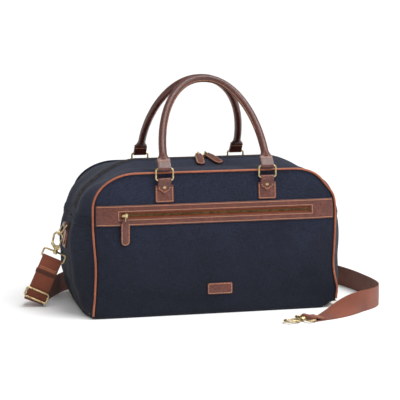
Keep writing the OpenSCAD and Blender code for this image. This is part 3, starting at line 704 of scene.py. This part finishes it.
def addPanel(name, node, side):
    slot = {"halfLength": 180 * mm, "low": 178 * mm, "high": 196 * mm}
    last = len(panelRows) - 1

    def placeAt(u, v):
        z = panelRows[round(v * last)]
        s = 2 * u - 1
        return frontSurface(halfWidth(z) * s, z, 0.0, side)

    bm = shapedGrid(90, last, placeAt, (2 * bag["halfLength"], bag["height"]), lambda p: side * yAxis)
    if side < 0:
        cutFaces(bm, lambda p: abs(p.x) < slot["halfLength"] and slot["low"] < p.z < slot["high"])
    addCanvas(name, bm, node)


def rimAt(d):
    # x, z and the outward direction of the panels' rim, by the way along it from the middle of the top
    side, far = (1 if d > 0 else -1), abs(d)
    if far <= topHalf:
        return Vector((d, 0, bag["height"])), zAxis
    if far >= cornerEnd:
        return Vector((side * bag["halfLength"], 0, sideHeight - (far - cornerEnd))), side * xAxis
    a = math.pi / 2 * (1 - (far - topHalf) / bag["cornerRun"])
    n = Vector((math.cos(a) / bag["cornerX"], 0, math.sin(a) / bag["cornerZ"])).normalized()
    x = topHalf + bag["cornerX"] * math.cos(a)
    return Vector((side * x, 0, sideHeight + bag["cornerZ"] * math.sin(a))), Vector((side * n.x, 0, n.z))


hem = {"edge": 6.5 * mm, "fold": 15 * mm, "height": 0.9 * mm}


def overTop(d, v, out=0.0, soft=True):
    p, n = rimAt(d)
    loose = topSoft(d, v) if soft else 0.0
    place = p + n * (riseAt(abs(d), v) + out + loose)
    place.y = v * halfDepth(p.z)
    return settle(place)


def topSoft(d, v):
    # shallow swells between the piping and the zip, and the doubled edge beside the zip
    fromZip = abs(v) * halfDepth(bag["height"])
    still = smooth(1.0, 0.8, abs(v)) * smooth(16 * mm, 45 * mm, fromZip)
    still *= 1 - 0.9 * bump(d, 0, 40 * mm)
    # flat where the pulls lie, wherever their sliders stop
    still *= 1 - (1 - smooth(185 * mm, 215 * mm, abs(d))) * smooth(0.05, 0.0, v) * smooth(0.75, 0.6, -v)
    waves = 2.4 * ripple(d * 14, v * 2.2, 5.5) + 1.1 * ripple(d * 40, v * 3, 1.7)
    onEnds = smooth(topHalf, cornerEnd, abs(d))
    creases = 2.2 * onEnds * math.sin(v * 9 + 1.2) * bump(abs(v), 0.55, 0.4)
    doubled = hem["height"] * smooth(hem["fold"], hem["fold"] - 1.5 * mm, fromZip)
    return (waves + creases) * still * mm + doubled


def addTopStrip(name, node, side):
    edge = hem["edge"] / halfDepth(bag["height"])
    reach = lambda v: cornerEnd + sideHeight - seamHeight(v) + 5 * mm
    rows = [1.0, 0.96, 0.9, 0.84, 0.77, 0.7, 0.63, 0.56, 0.49, 0.42, 0.35, 0.29, 0.24, 0.2,
            hem["fold"] / 0.11, hem["fold"] / 0.11 - 0.013, 0.1, 0.075, edge]
    last = len(rows) - 1

    def placeAt(u, v):
        w = rows[round(v * last)]
        return overTop((2 * u - 1) * reach(w), side * w)

    bm = shapedGrid(150, last, placeAt, (2 * cornerEnd, halfDepth(bag["height"])), fromMiddle)
    addCanvas(name, bm, node, bag["wall"] * 0.8)


def endSoft(v, z):
    rim = min(z - bag["floor"], seamHeight(v) - z)
    still = smooth(0, 20 * mm, rim) * smooth(1.0, 0.82, abs(v))
    still *= 1 - bump(v, 0, 0.24) * bump(z, 137 * mm, 38 * mm)
    waves = 1.6 * ripple(v * 2.6, z * 9, 9.3) + 0.7 * ripple(v * 6, z * 26, 2.2)
    # long upright folds where the cloth hangs from the seam, and a crease low down
    folds = 2.4 * bump(v, -0.62 + 1.2 * (z - 0.1), 0.09) - 2.6 * bump(v, -0.4 + 1.0 * (z - 0.1), 0.09)
    folds += 2.0 * bump(v, 0.5 - 0.8 * (z - 0.1), 0.1) - 1.8 * bump(v, 0.72, 0.09)
    folds -= 1.8 * bump(z / mm, 44 + 10 * v, 9)
    return (waves + folds) * still * mm


def addEndPanel(name, node, side):
    def placeAt(u, v):
        w = 2 * u - 1
        z = mix(bag["floor"], seamHeight(w), v)
        out = sideRise(z, w) + endSoft(w, z)
        return settle(Vector((side * (bag["halfLength"] + out), w * halfDepth(z), z)))

    bm = shapedGrid(56, 48, placeAt, (2 * bag["halfDepth"], bag["seamLow"]), lambda p: side * xAxis)
    addCanvas(name, bm, node)


def addBase():
    def placeAt(u, v):
        w = 2 * v - 1
        reach = bag["halfLength"] + sideRise(0, w)
        return settle(Vector(((2 * u - 1) * reach, w * bag["halfDepth"], bag["floor"])))

    bm = shapedGrid(60, 30, placeAt, (2 * bag["halfLength"], 2 * bag["halfDepth"]),
                    lambda p: -zAxis)
    addCanvas("baseCanvas", bm, "base_panel", bag["floor"] - 0.1 * mm, 1.0)


def addLining():
    # a loose inner bag, a little inside the canvas all round
    inside, low = -9 * mm, bag["floor"] + 5 * mm
    reach = cornerEnd + sideHeight - low
    walls = [shapedGrid(80, 12, lambda u, v: overTop(mix(-reach, reach, u), mix(-0.92, 0.92, v), inside),
                        (1.3, 0.25), fromMiddle)]
    for side in (-1, 1):
        walls.append(shapedGrid(40, 20, lambda u, v: frontSurface(
            0.95 * mix(-1, 1, u) * halfWidth(mix(low, 0.25, v)), mix(low, 0.25, v), inside, side),
            (0.45, 0.25), fromMiddle))
    halfLong, halfWide = 0.235, 0.112
    walls.append(shapedGrid(8, 4, lambda u, v: Vector((halfLong * (2 * u - 1),
                                                       halfWide * (2 * v - 1), low)),
                            (0.5, 0.24), fromMiddle))
    bm = bmesh.new()
    bm.loops.layers.uv.new("UVMap")
    for wall in walls:
        mesh = meshFrom(wall, "wall")
        bm.from_mesh(mesh)
        bpy.data.meshes.remove(mesh)
    thicken(addPiece("liningBag", bm, liningCloth, "bag", "lining", ["lining"]), 0.8 * mm)


for face, side in (("front", -1), ("back", 1)):
    addPanel(face + "Canvas", face + "_panel", side)
for face, side in (("front", -1), ("back", 1)):
    addTopStrip(f"top{face.title()}Canvas", f"top_{face}_strip", side)
for end, side in (("left", -1), ("right", 1)):
    addEndPanel(end + "EndCanvas", end + "_end_panel", side)
addBase()
addLining()
print("canvas sewn up")


# piping

piping = {"radius": 1.9 * mm, "out": 1.5 * mm}


def pipingLine(side):
    low = 3 * mm
    reach = cornerEnd + sideHeight - low
    line = []
    for i in range(241):
        p, n = rimAt(mix(-reach, reach, i / 240))
        place = p + n * piping["out"]
        place.y = side * (halfDepth(p.z) + piping["out"])
        line.append(settle(place))
    return line


def addPiping():
    # tan leather in front, the bag's own canvas behind
    for face, side, cover, slot in (("front", -1, pipingLeather, "piping"),
                                    ("back", 1, canvas, "canvas")):
        tubePiece(face + "PipingCord", pipingLine(side), piping["radius"], cover, "bag", slot,
                  [face + "_piping"])


addPiping()


# the front pocket: facing, zip and stitching

facingLow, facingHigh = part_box("pocket_facing")
facing = {"thickness": 2 * mm, "gap": 0.3 * mm, "half": (facingHigh.z - facingLow.z) / 2,
          "openLength": 177 * mm, "openHalf": 5.25 * mm, "end": 0.985 * bag["halfLength"]}
facingTop = facing["thickness"] + facing["gap"]


def addFacing():
    xs = [-facing["end"] + 5 * mm * i for i in range(9)]
    xs += [mix(-facing["openLength"], facing["openLength"], i / 60) for i in range(61)]
    xs += [facing["end"] - 5 * mm * i for i in range(8, -1, -1)]
    zs = [-facing["half"], -13 * mm, -9 * mm, -facing["openHalf"], 0]
    zs += [-z for z in zs[-2::-1]]

    def placeAt(u, v):
        x, z = xs[round(u * (len(xs) - 1))], zs[round(v * (len(zs) - 1))]
        crown = 0.5 * mm * math.cos(z / facing["half"] * math.pi / 2)
        return frontSurface(x, zipLine + z, facingTop + crown)

    bm = shapedGrid(len(xs) - 1, len(zs) - 1, placeAt, (0.45, 0.037), lambda p: -yAxis)
    cutFaces(bm, lambda p: abs(p.x) < facing["openLength"] and abs(p.z - zipLine) < facing["openHalf"])
    piece = addPiece("facingLeather", bm, leather, "bag", "leather", ["pocket_facing"])
    thicken(piece, facing["thickness"])
    roundEdges(piece, 0.5 * mm, 2, 50)


def facingLine(x0, z0, x1, z1, steps=60):
    return [frontSurface(mix(x0, x1, i / steps), zipLine + mix(z0, z1, i / steps), facingTop + 0.5 * mm)
            for i in range(steps + 1)]


def addFacingStitches():
    outer, inner = facing["half"] - 2.4 * mm, facing["openHalf"] + 2.6 * mm
    end = facing["openLength"] + 4 * mm
    lines = [facingLine(-facing["end"] + 2 * mm, z, facing["end"] - 2 * mm, z) for z in (-outer, outer)]
    lines += [facingLine(-end, z, end, z) for z in (-inner, inner)]
    lines += [facingLine(x, -inner, x, inner, 6) for x in (-end, end)]
    sew("facingStitches", [(line, -yAxis) for line in lines], tanThread, "bag")


def tooth(bm):
    bmesh.ops.create_cube(bm, size=1.0)
    bmesh.ops.bevel(bm, geom=bm.edges[:], offset=0.16, segments=1, profile=0.5, affect="EDGES",
                    material=-1)


toothShape = templateOf(tooth)
chain = {"pitch": 2.2 * mm, "wide": 2.7 * mm, "long": 1.25 * mm, "tall": 1.6 * mm, "apart": 1.0 * mm}


def addChain(name, node, points, normals, material):
    matrices = []
    for i, (centre, along, normal) in enumerate(everyPitch(points, normals, chain["pitch"] / 2)):
        side = normal.cross(along) * (chain["apart"] if i % 2 else -chain["apart"])
        spot = axesAt(centre + side, along, normal)
        matrices.append(spot @ Matrix.Diagonal((chain["long"], chain["wide"], chain["tall"], 1)))
    addPiece(name, stamp(toothShape, matrices), material, "bag", "bronze_teeth", [node],
             shadeSmooth=False)


def addPocketZip():
    halfLong, halfTall, chainEnd = 180 * mm, 8.7 * mm, 176 * mm
    bm = shapedGrid(60, 4, lambda u, v: frontSurface(halfLong * (2 * u - 1),
                                                     zipLine + halfTall * (2 * v - 1)),
                    (2 * halfLong, 2 * halfTall), lambda p: -yAxis)
    thicken(addPiece("pocketZipTape", bm, rustTape, "bag", "rust_tape", ["pocket_tape"]), 0.9 * mm)
    line = [frontSurface(mix(-chainEnd, chainEnd, i / 80), zipLine, 0.85 * mm) for i in range(81)]
    addChain("pocketZipTeeth", "pocket_teeth", line, [-yAxis] * len(line), bronze)


addFacing()
addFacingStitches()
addPocketZip()
print("front pocket made")


# the main zip

mainZip = {"tapeHalf": 14 * mm, "drop": 0.4 * mm}


def addMainZip():
    reach = cornerEnd + sideHeight - seamHeight(0)
    share = mainZip["tapeHalf"] / halfDepth(bag["height"])
    bm = shapedGrid(140, 6, lambda u, v: overTop(mix(-reach, reach, u), mix(-share, share, v),
                                                 -mainZip["drop"], False),
                    (2 * reach, 2 * mainZip["tapeHalf"]), fromMiddle)
    thicken(addPiece("mainZipTape", bm, navyTape, "bag", "dark_tape", ["main_tape"]), 0.9 * mm)
    ds = [mix(-reach, reach, i / 160) for i in range(161)]
    line = [overTop(d, 0, 0.4 * mm, False) for d in ds]
    addChain("mainZipTeeth", "main_teeth", line, [rimAt(d)[1] for d in ds], bronze)
    rows = []
    for v in (-1, 1):
        for away in (hem["edge"] + 2.2 * mm, hem["fold"] - 1.6 * mm):
            share = v * away / halfDepth(bag["height"])
            rows.append(([overTop(d, share) for d in ds], [rimAt(d)[1] for d in ds]))
    sew("mainZipStitches", rows, navyThread, "bag")


def addSideSeams():
    # two rows of stitches either side of the seam between each end panel and the top strips
    rows = []
    for side, name in ((-1, "left"), (1, "right")):
        vs = [mix(-0.96, 0.96, i / 60) for i in range(61)]
        middles, downs = [], []
        for v in vs:
            d = side * (cornerEnd + sideHeight - seamHeight(v) - 5.5 * mm)
            middles.append(overTop(d, v, 0.7 * mm))
            downs.append((overTop(d + mm, v) - overTop(d - mm, v)).normalized())
        ribbonPiece(name + "SeamFold", middles, downs, 12 * mm, 1.1 * mm, canvas, "bag", "canvas")
        for away in (3.5 * mm, 8 * mm):
            line = []
            for v in vs:
                d = side * (cornerEnd + sideHeight - seamHeight(v) - away)
                line.append(overTop(d, v, 1.3 * mm))
            rows.append((line, side * xAxis))
    sew("sideSeamStitches", rows, navyThread, "bag")


addMainZip()
addSideSeams()
print("main zip made")


# label patch


def addLabel():
    low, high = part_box("label_patch")
    w, h = high.x - low.x, high.z - low.z
    place = Matrix.Translation((labelSpot.x, high.y, labelSpot.z))
    bm = slab(roundedBox(w, -h / 2, h / 2, 3 * mm), high.y - low.y, 0.5 * mm)
    addPiece("labelLeather", bm, leather, "bag", "leather", ["label_patch"], place)
    outline = roundedBox(w, -h / 2, h / 2, 3 * mm, 1.9 * mm)
    outline.append(outline[0])
    line = [Vector((x, low.y - high.y, z)) for x, z in outline]
    sew("labelStitches", [(line, -yAxis)], tanThread, "bag", 2.6 * mm, place=place)


addLabel()


# leather tabs with their wraps

wrap = {"width": 24 * mm, "thickness": 2 * mm, "round": 3.05 * mm}


def tabWrapLine(tipDrop, frontY, backY):
    # the wrap's middle line in YZ: from the tip in front, over the bar, down behind
    line = [(frontY, -tipDrop), (frontY, -tipDrop * 0.75), (frontY, -13 * mm),
            (frontY - 0.3 * mm, -10 * mm),
            (mix(frontY, -wrap["round"], 0.45), -7 * mm), (mix(frontY, -wrap["round"], 0.85), -4 * mm)]
    line += [(-y, z) for y, z in arc(wrap["round"], -12, 192, 14)]
    line += [(mix(wrap["round"], backY, 0.6), -5 * mm), (backY, -9 * mm), (backY, -14 * mm)]
    return [Vector((0, y, z)) for y, z in line]


def addTab(name, node, body, place, width, drop, tipDrop, back=5.4 * mm):
    bm = slab(roundedBox(width, -drop, -9 * mm, 2.2 * mm), wrap["thickness"], 0.45 * mm)
    spot = place @ Matrix.Translation((0, back, 0))
    addPiece(name + "Plate", bm, leather, body, "leather", [node], spot)
    frontY = back - 1.5 * wrap["thickness"]
    line = tabWrapLine(tipDrop, frontY, back - wrap["thickness"] / 2)
    fine = []
    for a, b in zip(line, line[1:]):
        fine += [a, a.lerp(b, 0.5)]
    fine.append(line[-1])
    tip = 9 * mm
    widths = []
    for i, p in enumerate(fine):
        share = 1.0
        if i < len(fine) / 2 and p.z < -tipDrop + tip:
            share = 0.12 + 0.88 * (p.z + tipDrop) / tip
        widths.append(wrap["width"] * share)
    ribbonPiece(name + "Wrap", fine, xAxis, wrap["width"], wrap["thickness"], leather, body, "leather",
                place=place, widths=widths, edge=0.35 * mm)
    face = back - wrap["thickness"]
    inset = 2.2 * mm
    side = width / 2 - inset
    border = [(-side, -13 * mm), (-side, -drop + inset), (side, -drop + inset), (side, -13 * mm)]
    top, low = face - wrap["thickness"], -tipDrop + 2.5 * mm
    edge = wrap["width"] / 2 - 2 * mm
    vee = [(-edge, -12 * mm), (-edge, -tipDrop + tip), (0, low), (edge, -tipDrop + tip),
           (edge, -12 * mm)]
    lines = [([Vector((a[0], y, a[1])), Vector((b[0], y, b[1]))], -yAxis)
             for y, outline in ((face, border), (top, vee)) for a, b in zip(outline, outline[1:])]
    sew(name + "Stitches", lines, tanThread, body, 2.9 * mm, place=place)


def addHandleTabs():
    for face, mirror in (("front", Matrix.Identity(4)), ("back", flipY)):
        for side, sign in (("left", -1), ("right", 1)):
            spot = at("front_left_ring_swing")
            place = mirror @ Matrix.Translation((sign * abs(spot.x), spot.y, spot.z)) @ turned(x=-7.1)
            addTab(face + side.title() + "Tab", f"{face}_{side}_tab", "bag", place,
                   34 * mm, 40.5 * mm, 25 * mm)


def addEndTabs():
    for side, mirror in (("left", flipX), ("right", Matrix.Identity(4))):
        spot = at("right_d_ring_swing")
        place = mirror @ Matrix.Translation(spot) @ turned(y=-11) @ turned(z=90)
        addTab(side + "EndTab", f"{side}_end_tab", "bag", place, 30 * mm, 42 * mm, 38 * mm)


addHandleTabs()
addEndTabs()
print("tabs made")


# rolled handles

handle = {"rise": 188 * mm, "flat": 17 * mm, "radius": 6.75 * mm, "lean": 35.3, "steps": 160,
          "round": 32, "flare": 4.5, "wider": 5.0 * mm, "thinner": 3.8 * mm}


def archAt(a):
    r = math.radians(a)
    c = math.cos(r)
    x = -tabX * abs(c) ** 0.94 * (1 if c > 0 else -1)
    return Vector((x, 0, handle["flat"] + (handle["rise"] - handle["flat"]) * math.sin(r)))


def archInwards(a):
    return yAxis.cross(archAt(min(180, a + 0.6)) - archAt(max(0, a - 0.6))).normalized()


def handleSkin(a, turn):
    # turn 0 is the inner side, where the leather's two edges meet in a raised seam
    flat = 1 - smooth(0, handle["flare"], min(a, 180 - a))
    wide = handle["radius"] + handle["wider"] * flat
    thick = handle["radius"] - handle["thinner"] * flat
    t = (turn + math.pi) % (2 * math.pi) - math.pi
    seam = (1 - flat) * (1.5 * mm * bump(t, 0, 0.3) - 1.0 * mm * bump(t, 0, 0.07))
    lump = 0.16 * mm * ripple(a * 0.22, t, 4.0) * (1 - flat)
    p, inwards = archAt(a), archInwards(a)
    across = inwards * (wide + seam + lump) * math.cos(turn)
    return p + across + yAxis * (thick + lump) * math.sin(turn)


def addHandle(name, face, mirror):
    pivot = at("front_handle_swing")
    place = mirror @ Matrix.Translation((0, pivot.y, pivot.z)) @ turned(x=-handle["lean"])
    bm = shapedGrid(handle["steps"], handle["round"],
                    lambda u, v: handleSkin(180 * u, 2 * math.pi * v),
                    (0.46, 0.047), lambda p: zAxis)
    bmesh.ops.remove_doubles(bm, verts=bm.verts, dist=0.01 * mm)
    bmesh.ops.holes_fill(bm, edges=[e for e in bm.edges if e.is_boundary])
    bmesh.ops.recalc_face_normals(bm, faces=bm.faces)
    addPiece(name, bm, handleLeather, f"{face}_handle", "leather", [f"{face}_handle"], place)
    rows = []
    for turn in (-0.42, 0.42):
        angles = [mix(20, 160, i / 120) for i in range(121)]
        points = [handleSkin(a, turn) for a in angles]
        normals = [(p - archAt(a)).normalized() for p, a in zip(points, angles)]
        rows.append((points, normals))
    z, half = 15.5 * mm, wrap["width"] / 2 - 1.5 * mm
    for sign in (-1, 1):
        for y in (-1, 1):
            row = [Vector((sign * tabX + x, y * 3.1 * mm, z)) for x in (-half, half)]
            rows.append((row, y * yAxis))
    sew(name + "Stitches", rows, tanThread, f"{face}_handle", 3.2 * mm, place=place)
    for side, sign in (("Left", -1), ("Right", 1)):
        line = [(-2.0 * mm, 20 * mm), (-2.0 * mm, 14 * mm), (-2.1 * mm, 10 * mm), (-2.5 * mm, 6 * mm)]
        line += arc(wrap["round"], 150, 390, 18)
        line += [(2.5 * mm, 6 * mm), (2.1 * mm, 10 * mm), (2.0 * mm, 14 * mm), (2.0 * mm, 20 * mm)]
        points = [Vector((sign * tabX, y, z)) for y, z in line]
        ribbonPiece(name + side + "End", points, xAxis, wrap["width"], wrap["thickness"],
                    handleLeather, f"{face}_handle", "leather", place=place)


addHandle("frontHandleLeather", "front", Matrix.Identity(4))
addHandle("backHandleLeather", "back", flipY)
print("handles rolled")


# zip pulls

pull = {"length": 54 * mm, "width": 16 * mm, "neck": 11 * mm, "top": 4.4 * mm, "shoulder": 13.5 * mm,
        "thickness": 2.6 * mm}


def pullOutline(inset=0.0):
    r = pull["width"] / 2 - inset
    low = arc(r, 180, 360, 14, (0, pull["width"] / 2 - pull["length"]))
    neck = pull["neck"] / 2 - inset
    return low + [(r, -pull["shoulder"]), (neck, -10 * mm), (neck, -pull["top"] - inset),
                  (-neck, -pull["top"] - inset), (-neck, -10 * mm), (-r, -pull["shoulder"])]


def addPull(name, node, body, place):
    spot = place @ Matrix.Translation((0, pull["thickness"] / 2, 0))
    bm = slab(pullOutline(), pull["thickness"], 0.45 * mm,
              {"margin": 3.4 * mm, "width": 0.5 * mm, "depth": 0.35 * mm})
    addPiece(name, bm, leather, body, "leather", [node], spot)
    outline = [p for p in pullOutline(1.7 * mm) if p[1] < -11 * mm]
    lines = []
    for face in (-1, 1):
        line = [Vector((x, face * pull["thickness"] / 2, z)) for x, z in outline[-1:] + outline[:-1]]
        lines.append((line, Vector((0, face, 0))))
    sew(name + "Stitches", lines, tanThread, body, 2.7 * mm, place=place)


addPull("pocketPullLeather", "pocket_pull", "pocket_pull",
        Matrix.Translation(at("pocket_pull_swing")) @ turned(x=3))
for side, yaw in (("left", 6), ("right", -20)):
    spot = Matrix.Translation(at(f"main_pull_{side}_swing")) @ turned(x=16 - 90) @ turned(y=yaw)
    addPull(f"main{side.title()}PullLeather", f"main_pull_{side}", f"main_pull_{side}", spot)
print("pulls made")


# strap ends

leg = {"length": 84.8 * mm, "back": 28 * mm, "turn": 2.2 * mm, "band": -29 * mm, "bandHeight": 7 * mm}


def strapEndPlace(side, along, up):
    return axesAt(at(f"{side}_loop_swing"), joints[along]["axis"], joints[up]["axis"])


def addStrapLeg():
    place = strapEndPlace("left", "left_loop_swing", "strap_adjuster_travel")
    r = leg["turn"] + strap["thickness"] / 2
    line = [(-r, mix(-leg["length"], 0, i / 14)) for i in range(14)]
    line += [(-y, z) for y, z in arc(r, 0, 180, 12)]
    line += [(r, mix(0, -leg["back"], i / 6)) for i in range(1, 7)]
    points = [Vector((0, y, z)) for y, z in line]
    ribbonPiece("strapLegWebbing", points, xAxis, strap["width"], strap["thickness"],
                webbing, "bag", "webbing", ["strap_leg"], place)
    half, out = strap["width"] / 2 + 0.8 * mm, leg["turn"] + strap["thickness"] + 0.8 * mm
    ring = [(-half, -out), (half, -out), (half, out), (-half, out)]
    bm = bmesh.new()
    corners = [bm.verts.new((x, y, leg["band"] - leg["bandHeight"] / 2)) for x, y in ring]
    face = bm.faces.new(corners)
    made = bmesh.ops.extrude_edge_only(bm, edges=face.edges[:])
    bmesh.ops.delete(bm, geom=[face], context="FACES_ONLY")
    moved = [g for g in made["geom"] if isinstance(g, bmesh.types.BMVert)]
    bmesh.ops.translate(bm, verts=moved, vec=(0, 0, leg["bandHeight"]))
    bmesh.ops.recalc_face_normals(bm, faces=bm.faces)
    uvLayer = bm.loops.layers.uv.new("UVMap")
    for f in bm.faces:
        for loop in f.loops:
            loop[uvLayer].uv = (loop.vert.co.z, loop.vert.co.x + loop.vert.co.y)
    piece = addPiece("strapBandBinding", bm, darkWebbing, "bag", "dark_webbing", ["strap_band"], place,
                     False)
    thicken(piece, 1.1 * mm, 0.0)
    roundEdges(piece, 0.5 * mm, 3)
    front = -leg["turn"] - strap["thickness"]
    half = strap["width"] / 2 - 3 * mm
    rows = [([Vector((x, front, z)) for x in (-half, half)], -yAxis) for z in (-19 * mm, -22 * mm)]
    sew("strapLegStitches", rows, tanThread, "bag", place=place)


def addStrapFold():
    place = strapEndPlace("free", "free_loop_swing", "free_hook_swivel")
    r = leg["turn"] + strap["thickness"] / 2
    landed = leg["turn"] - strap["thickness"] - 0.3 * mm + strap["thickness"] / 2
    line = [(landed, -24 * mm), (landed, -20 * mm), (landed, -16 * mm),
            (mix(landed, -r, 0.35), -11 * mm), (mix(landed, -r, 0.8), -6 * mm), (-r, -2 * mm)]
    line += [(-y, z) for y, z in arc(r, 0, 180, 12)]
    line += [(r, -2.5 * mm), (r, -4 * mm)]
    points = [Vector((0, y, z)) for y, z in line]
    ribbonPiece("strapFoldWebbing", points, xAxis, strap["width"], strap["thickness"],
                webbing, "bag", "webbing", ["strap_fold"], place)
    top = landed - strap["thickness"] / 2
    half = strap["width"] / 2 - 3 * mm
    rows = [([Vector((x, top, z)) for x in (-half, half)], -yAxis) for z in (-22 * mm, -18 * mm)]
    sew("strapFoldStitches", rows, tanThread, "bag", place=place)


addStrapLeg()
addStrapFold()
print("strap ends sewn")


# metalwork: merged, smoothed copies of the wire and cast parts


def smoothCopy(node, slot, material):
    source = frame["nodes"][node]
    bm = bmesh.new()
    bm.from_mesh(source.data)
    bmesh.ops.remove_doubles(bm, verts=bm.verts, dist=0.005 * mm)
    bmesh.ops.dissolve_limit(bm, angle_limit=math.radians(1), verts=bm.verts, edges=bm.edges)
    bmesh.ops.recalc_face_normals(bm, faces=bm.faces)
    name = "".join(word.title() for word in node.split("_"))
    piece = addPiece(name[0].lower() + name[1:] + "Metal", bm, material, source["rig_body"], slot, [node])
    piece.data.set_sharp_from_angle(angle=math.radians(38))
    return piece


rings = ["front_left_ring", "front_right_ring", "back_left_ring", "back_right_ring",
         "left_d_ring", "right_d_ring"]
rivets = ["tab_rivets", "end_tab_rivets"]
hooks = ["left_loop", "left_hook", "left_gate", "free_loop", "free_hook", "free_gate", "strap_adjuster"]
sliders = ["pocket_slider", "main_slider_left", "main_slider_right", "pocket_link", "main_link_left",
           "main_link_right"]
metal = {node: smoothCopy(node, "brass", brass) for node in rings + hooks + sliders + rivets}
for node in ("left_gate_pin", "free_gate_pin"):
    metal[node] = smoothCopy(node, "brass", bronze)


def dress(node, material):
    target = frame["nodes"][node].data
    target.materials.clear()
    target.materials.append(material)


for node, material in (("pocket_bag", liningCloth), ("base_board", boardStock),
                       ("front_handle_core", ropeCotton), ("back_handle_core", ropeCotton)):
    dress(node, material)
print("metalwork and inner pieces dressed")


onStrap = [metal[n] for n in ("strap_adjuster", "left_loop", "left_hook", "left_gate", "left_gate_pin",
                              "free_loop", "free_hook", "free_gate", "free_gate_pin")]
onStrap += [bpy.data.objects[n] for n in ("strapLegWebbing", "strapBandBinding", "strapLegStitches",
                                          "strapFoldWebbing", "strapFoldStitches")]


# floor and light


def addFloor():
    bm = bmesh.new()
    bmesh.ops.create_grid(bm, x_segments=1, y_segments=1, size=60)
    material, tree = newMaterial("paleFloor")
    place = objectPlace(tree)
    speck = fractal(tree, place, 30.0)
    grey, pale = (0.90, 0.90, 0.90, 1), (0.93, 0.93, 0.93, 1)
    finishMaterial(tree, {"Base Color": blendColour(tree, speck, grey, pale), "Roughness": 0.8})
    mesh = meshFrom(bm, "floor")
    mesh.materials.append(material)
    floor = bpy.data.objects.new("floor", mesh)
    show(floor)


studio = {"sky": 0.5, "sun": 2.3, "sunFrom": (0.5, -0.3, 1.5), "sunAngle": 40,
          "panels": [((-0.7, -2.2, 2.4), 1.0, 12), ((1.7, -1.6, 1.7), 1.2, 22)]}


def addLight(name, kind, place, energy, size):
    data = bpy.data.lights.new(name, kind)
    data.energy = energy
    if kind == "SUN":
        data.angle = math.radians(size)
    else:
        data.shape = "DISK"
        data.size = size
    light = bpy.data.objects.new(name, data)
    light.location = place
    light.rotation_mode = "QUATERNION"
    light.rotation_quaternion = (Vector((0, 0, 0.15)) - Vector(place)).to_track_quat("-Z", "Y")
    show(light)


def addLights():
    world = bpy.data.worlds.new("studio")
    bpy.context.scene.world = world
    world.use_nodes = True
    world.node_tree.nodes["Background"].inputs[0].default_value = (1, 1, 1, 1)
    world.node_tree.nodes["Background"].inputs[1].default_value = studio["sky"]
    addLight("sun", "SUN", studio["sunFrom"], studio["sun"], studio["sunAngle"])
    for i, (place, size, energy) in enumerate(studio["panels"]):
        addLight(f"softbox{i}", "AREA", place, energy, size)
    bpy.context.scene.view_settings.view_transform = "Standard"


addFloor()
addLights()
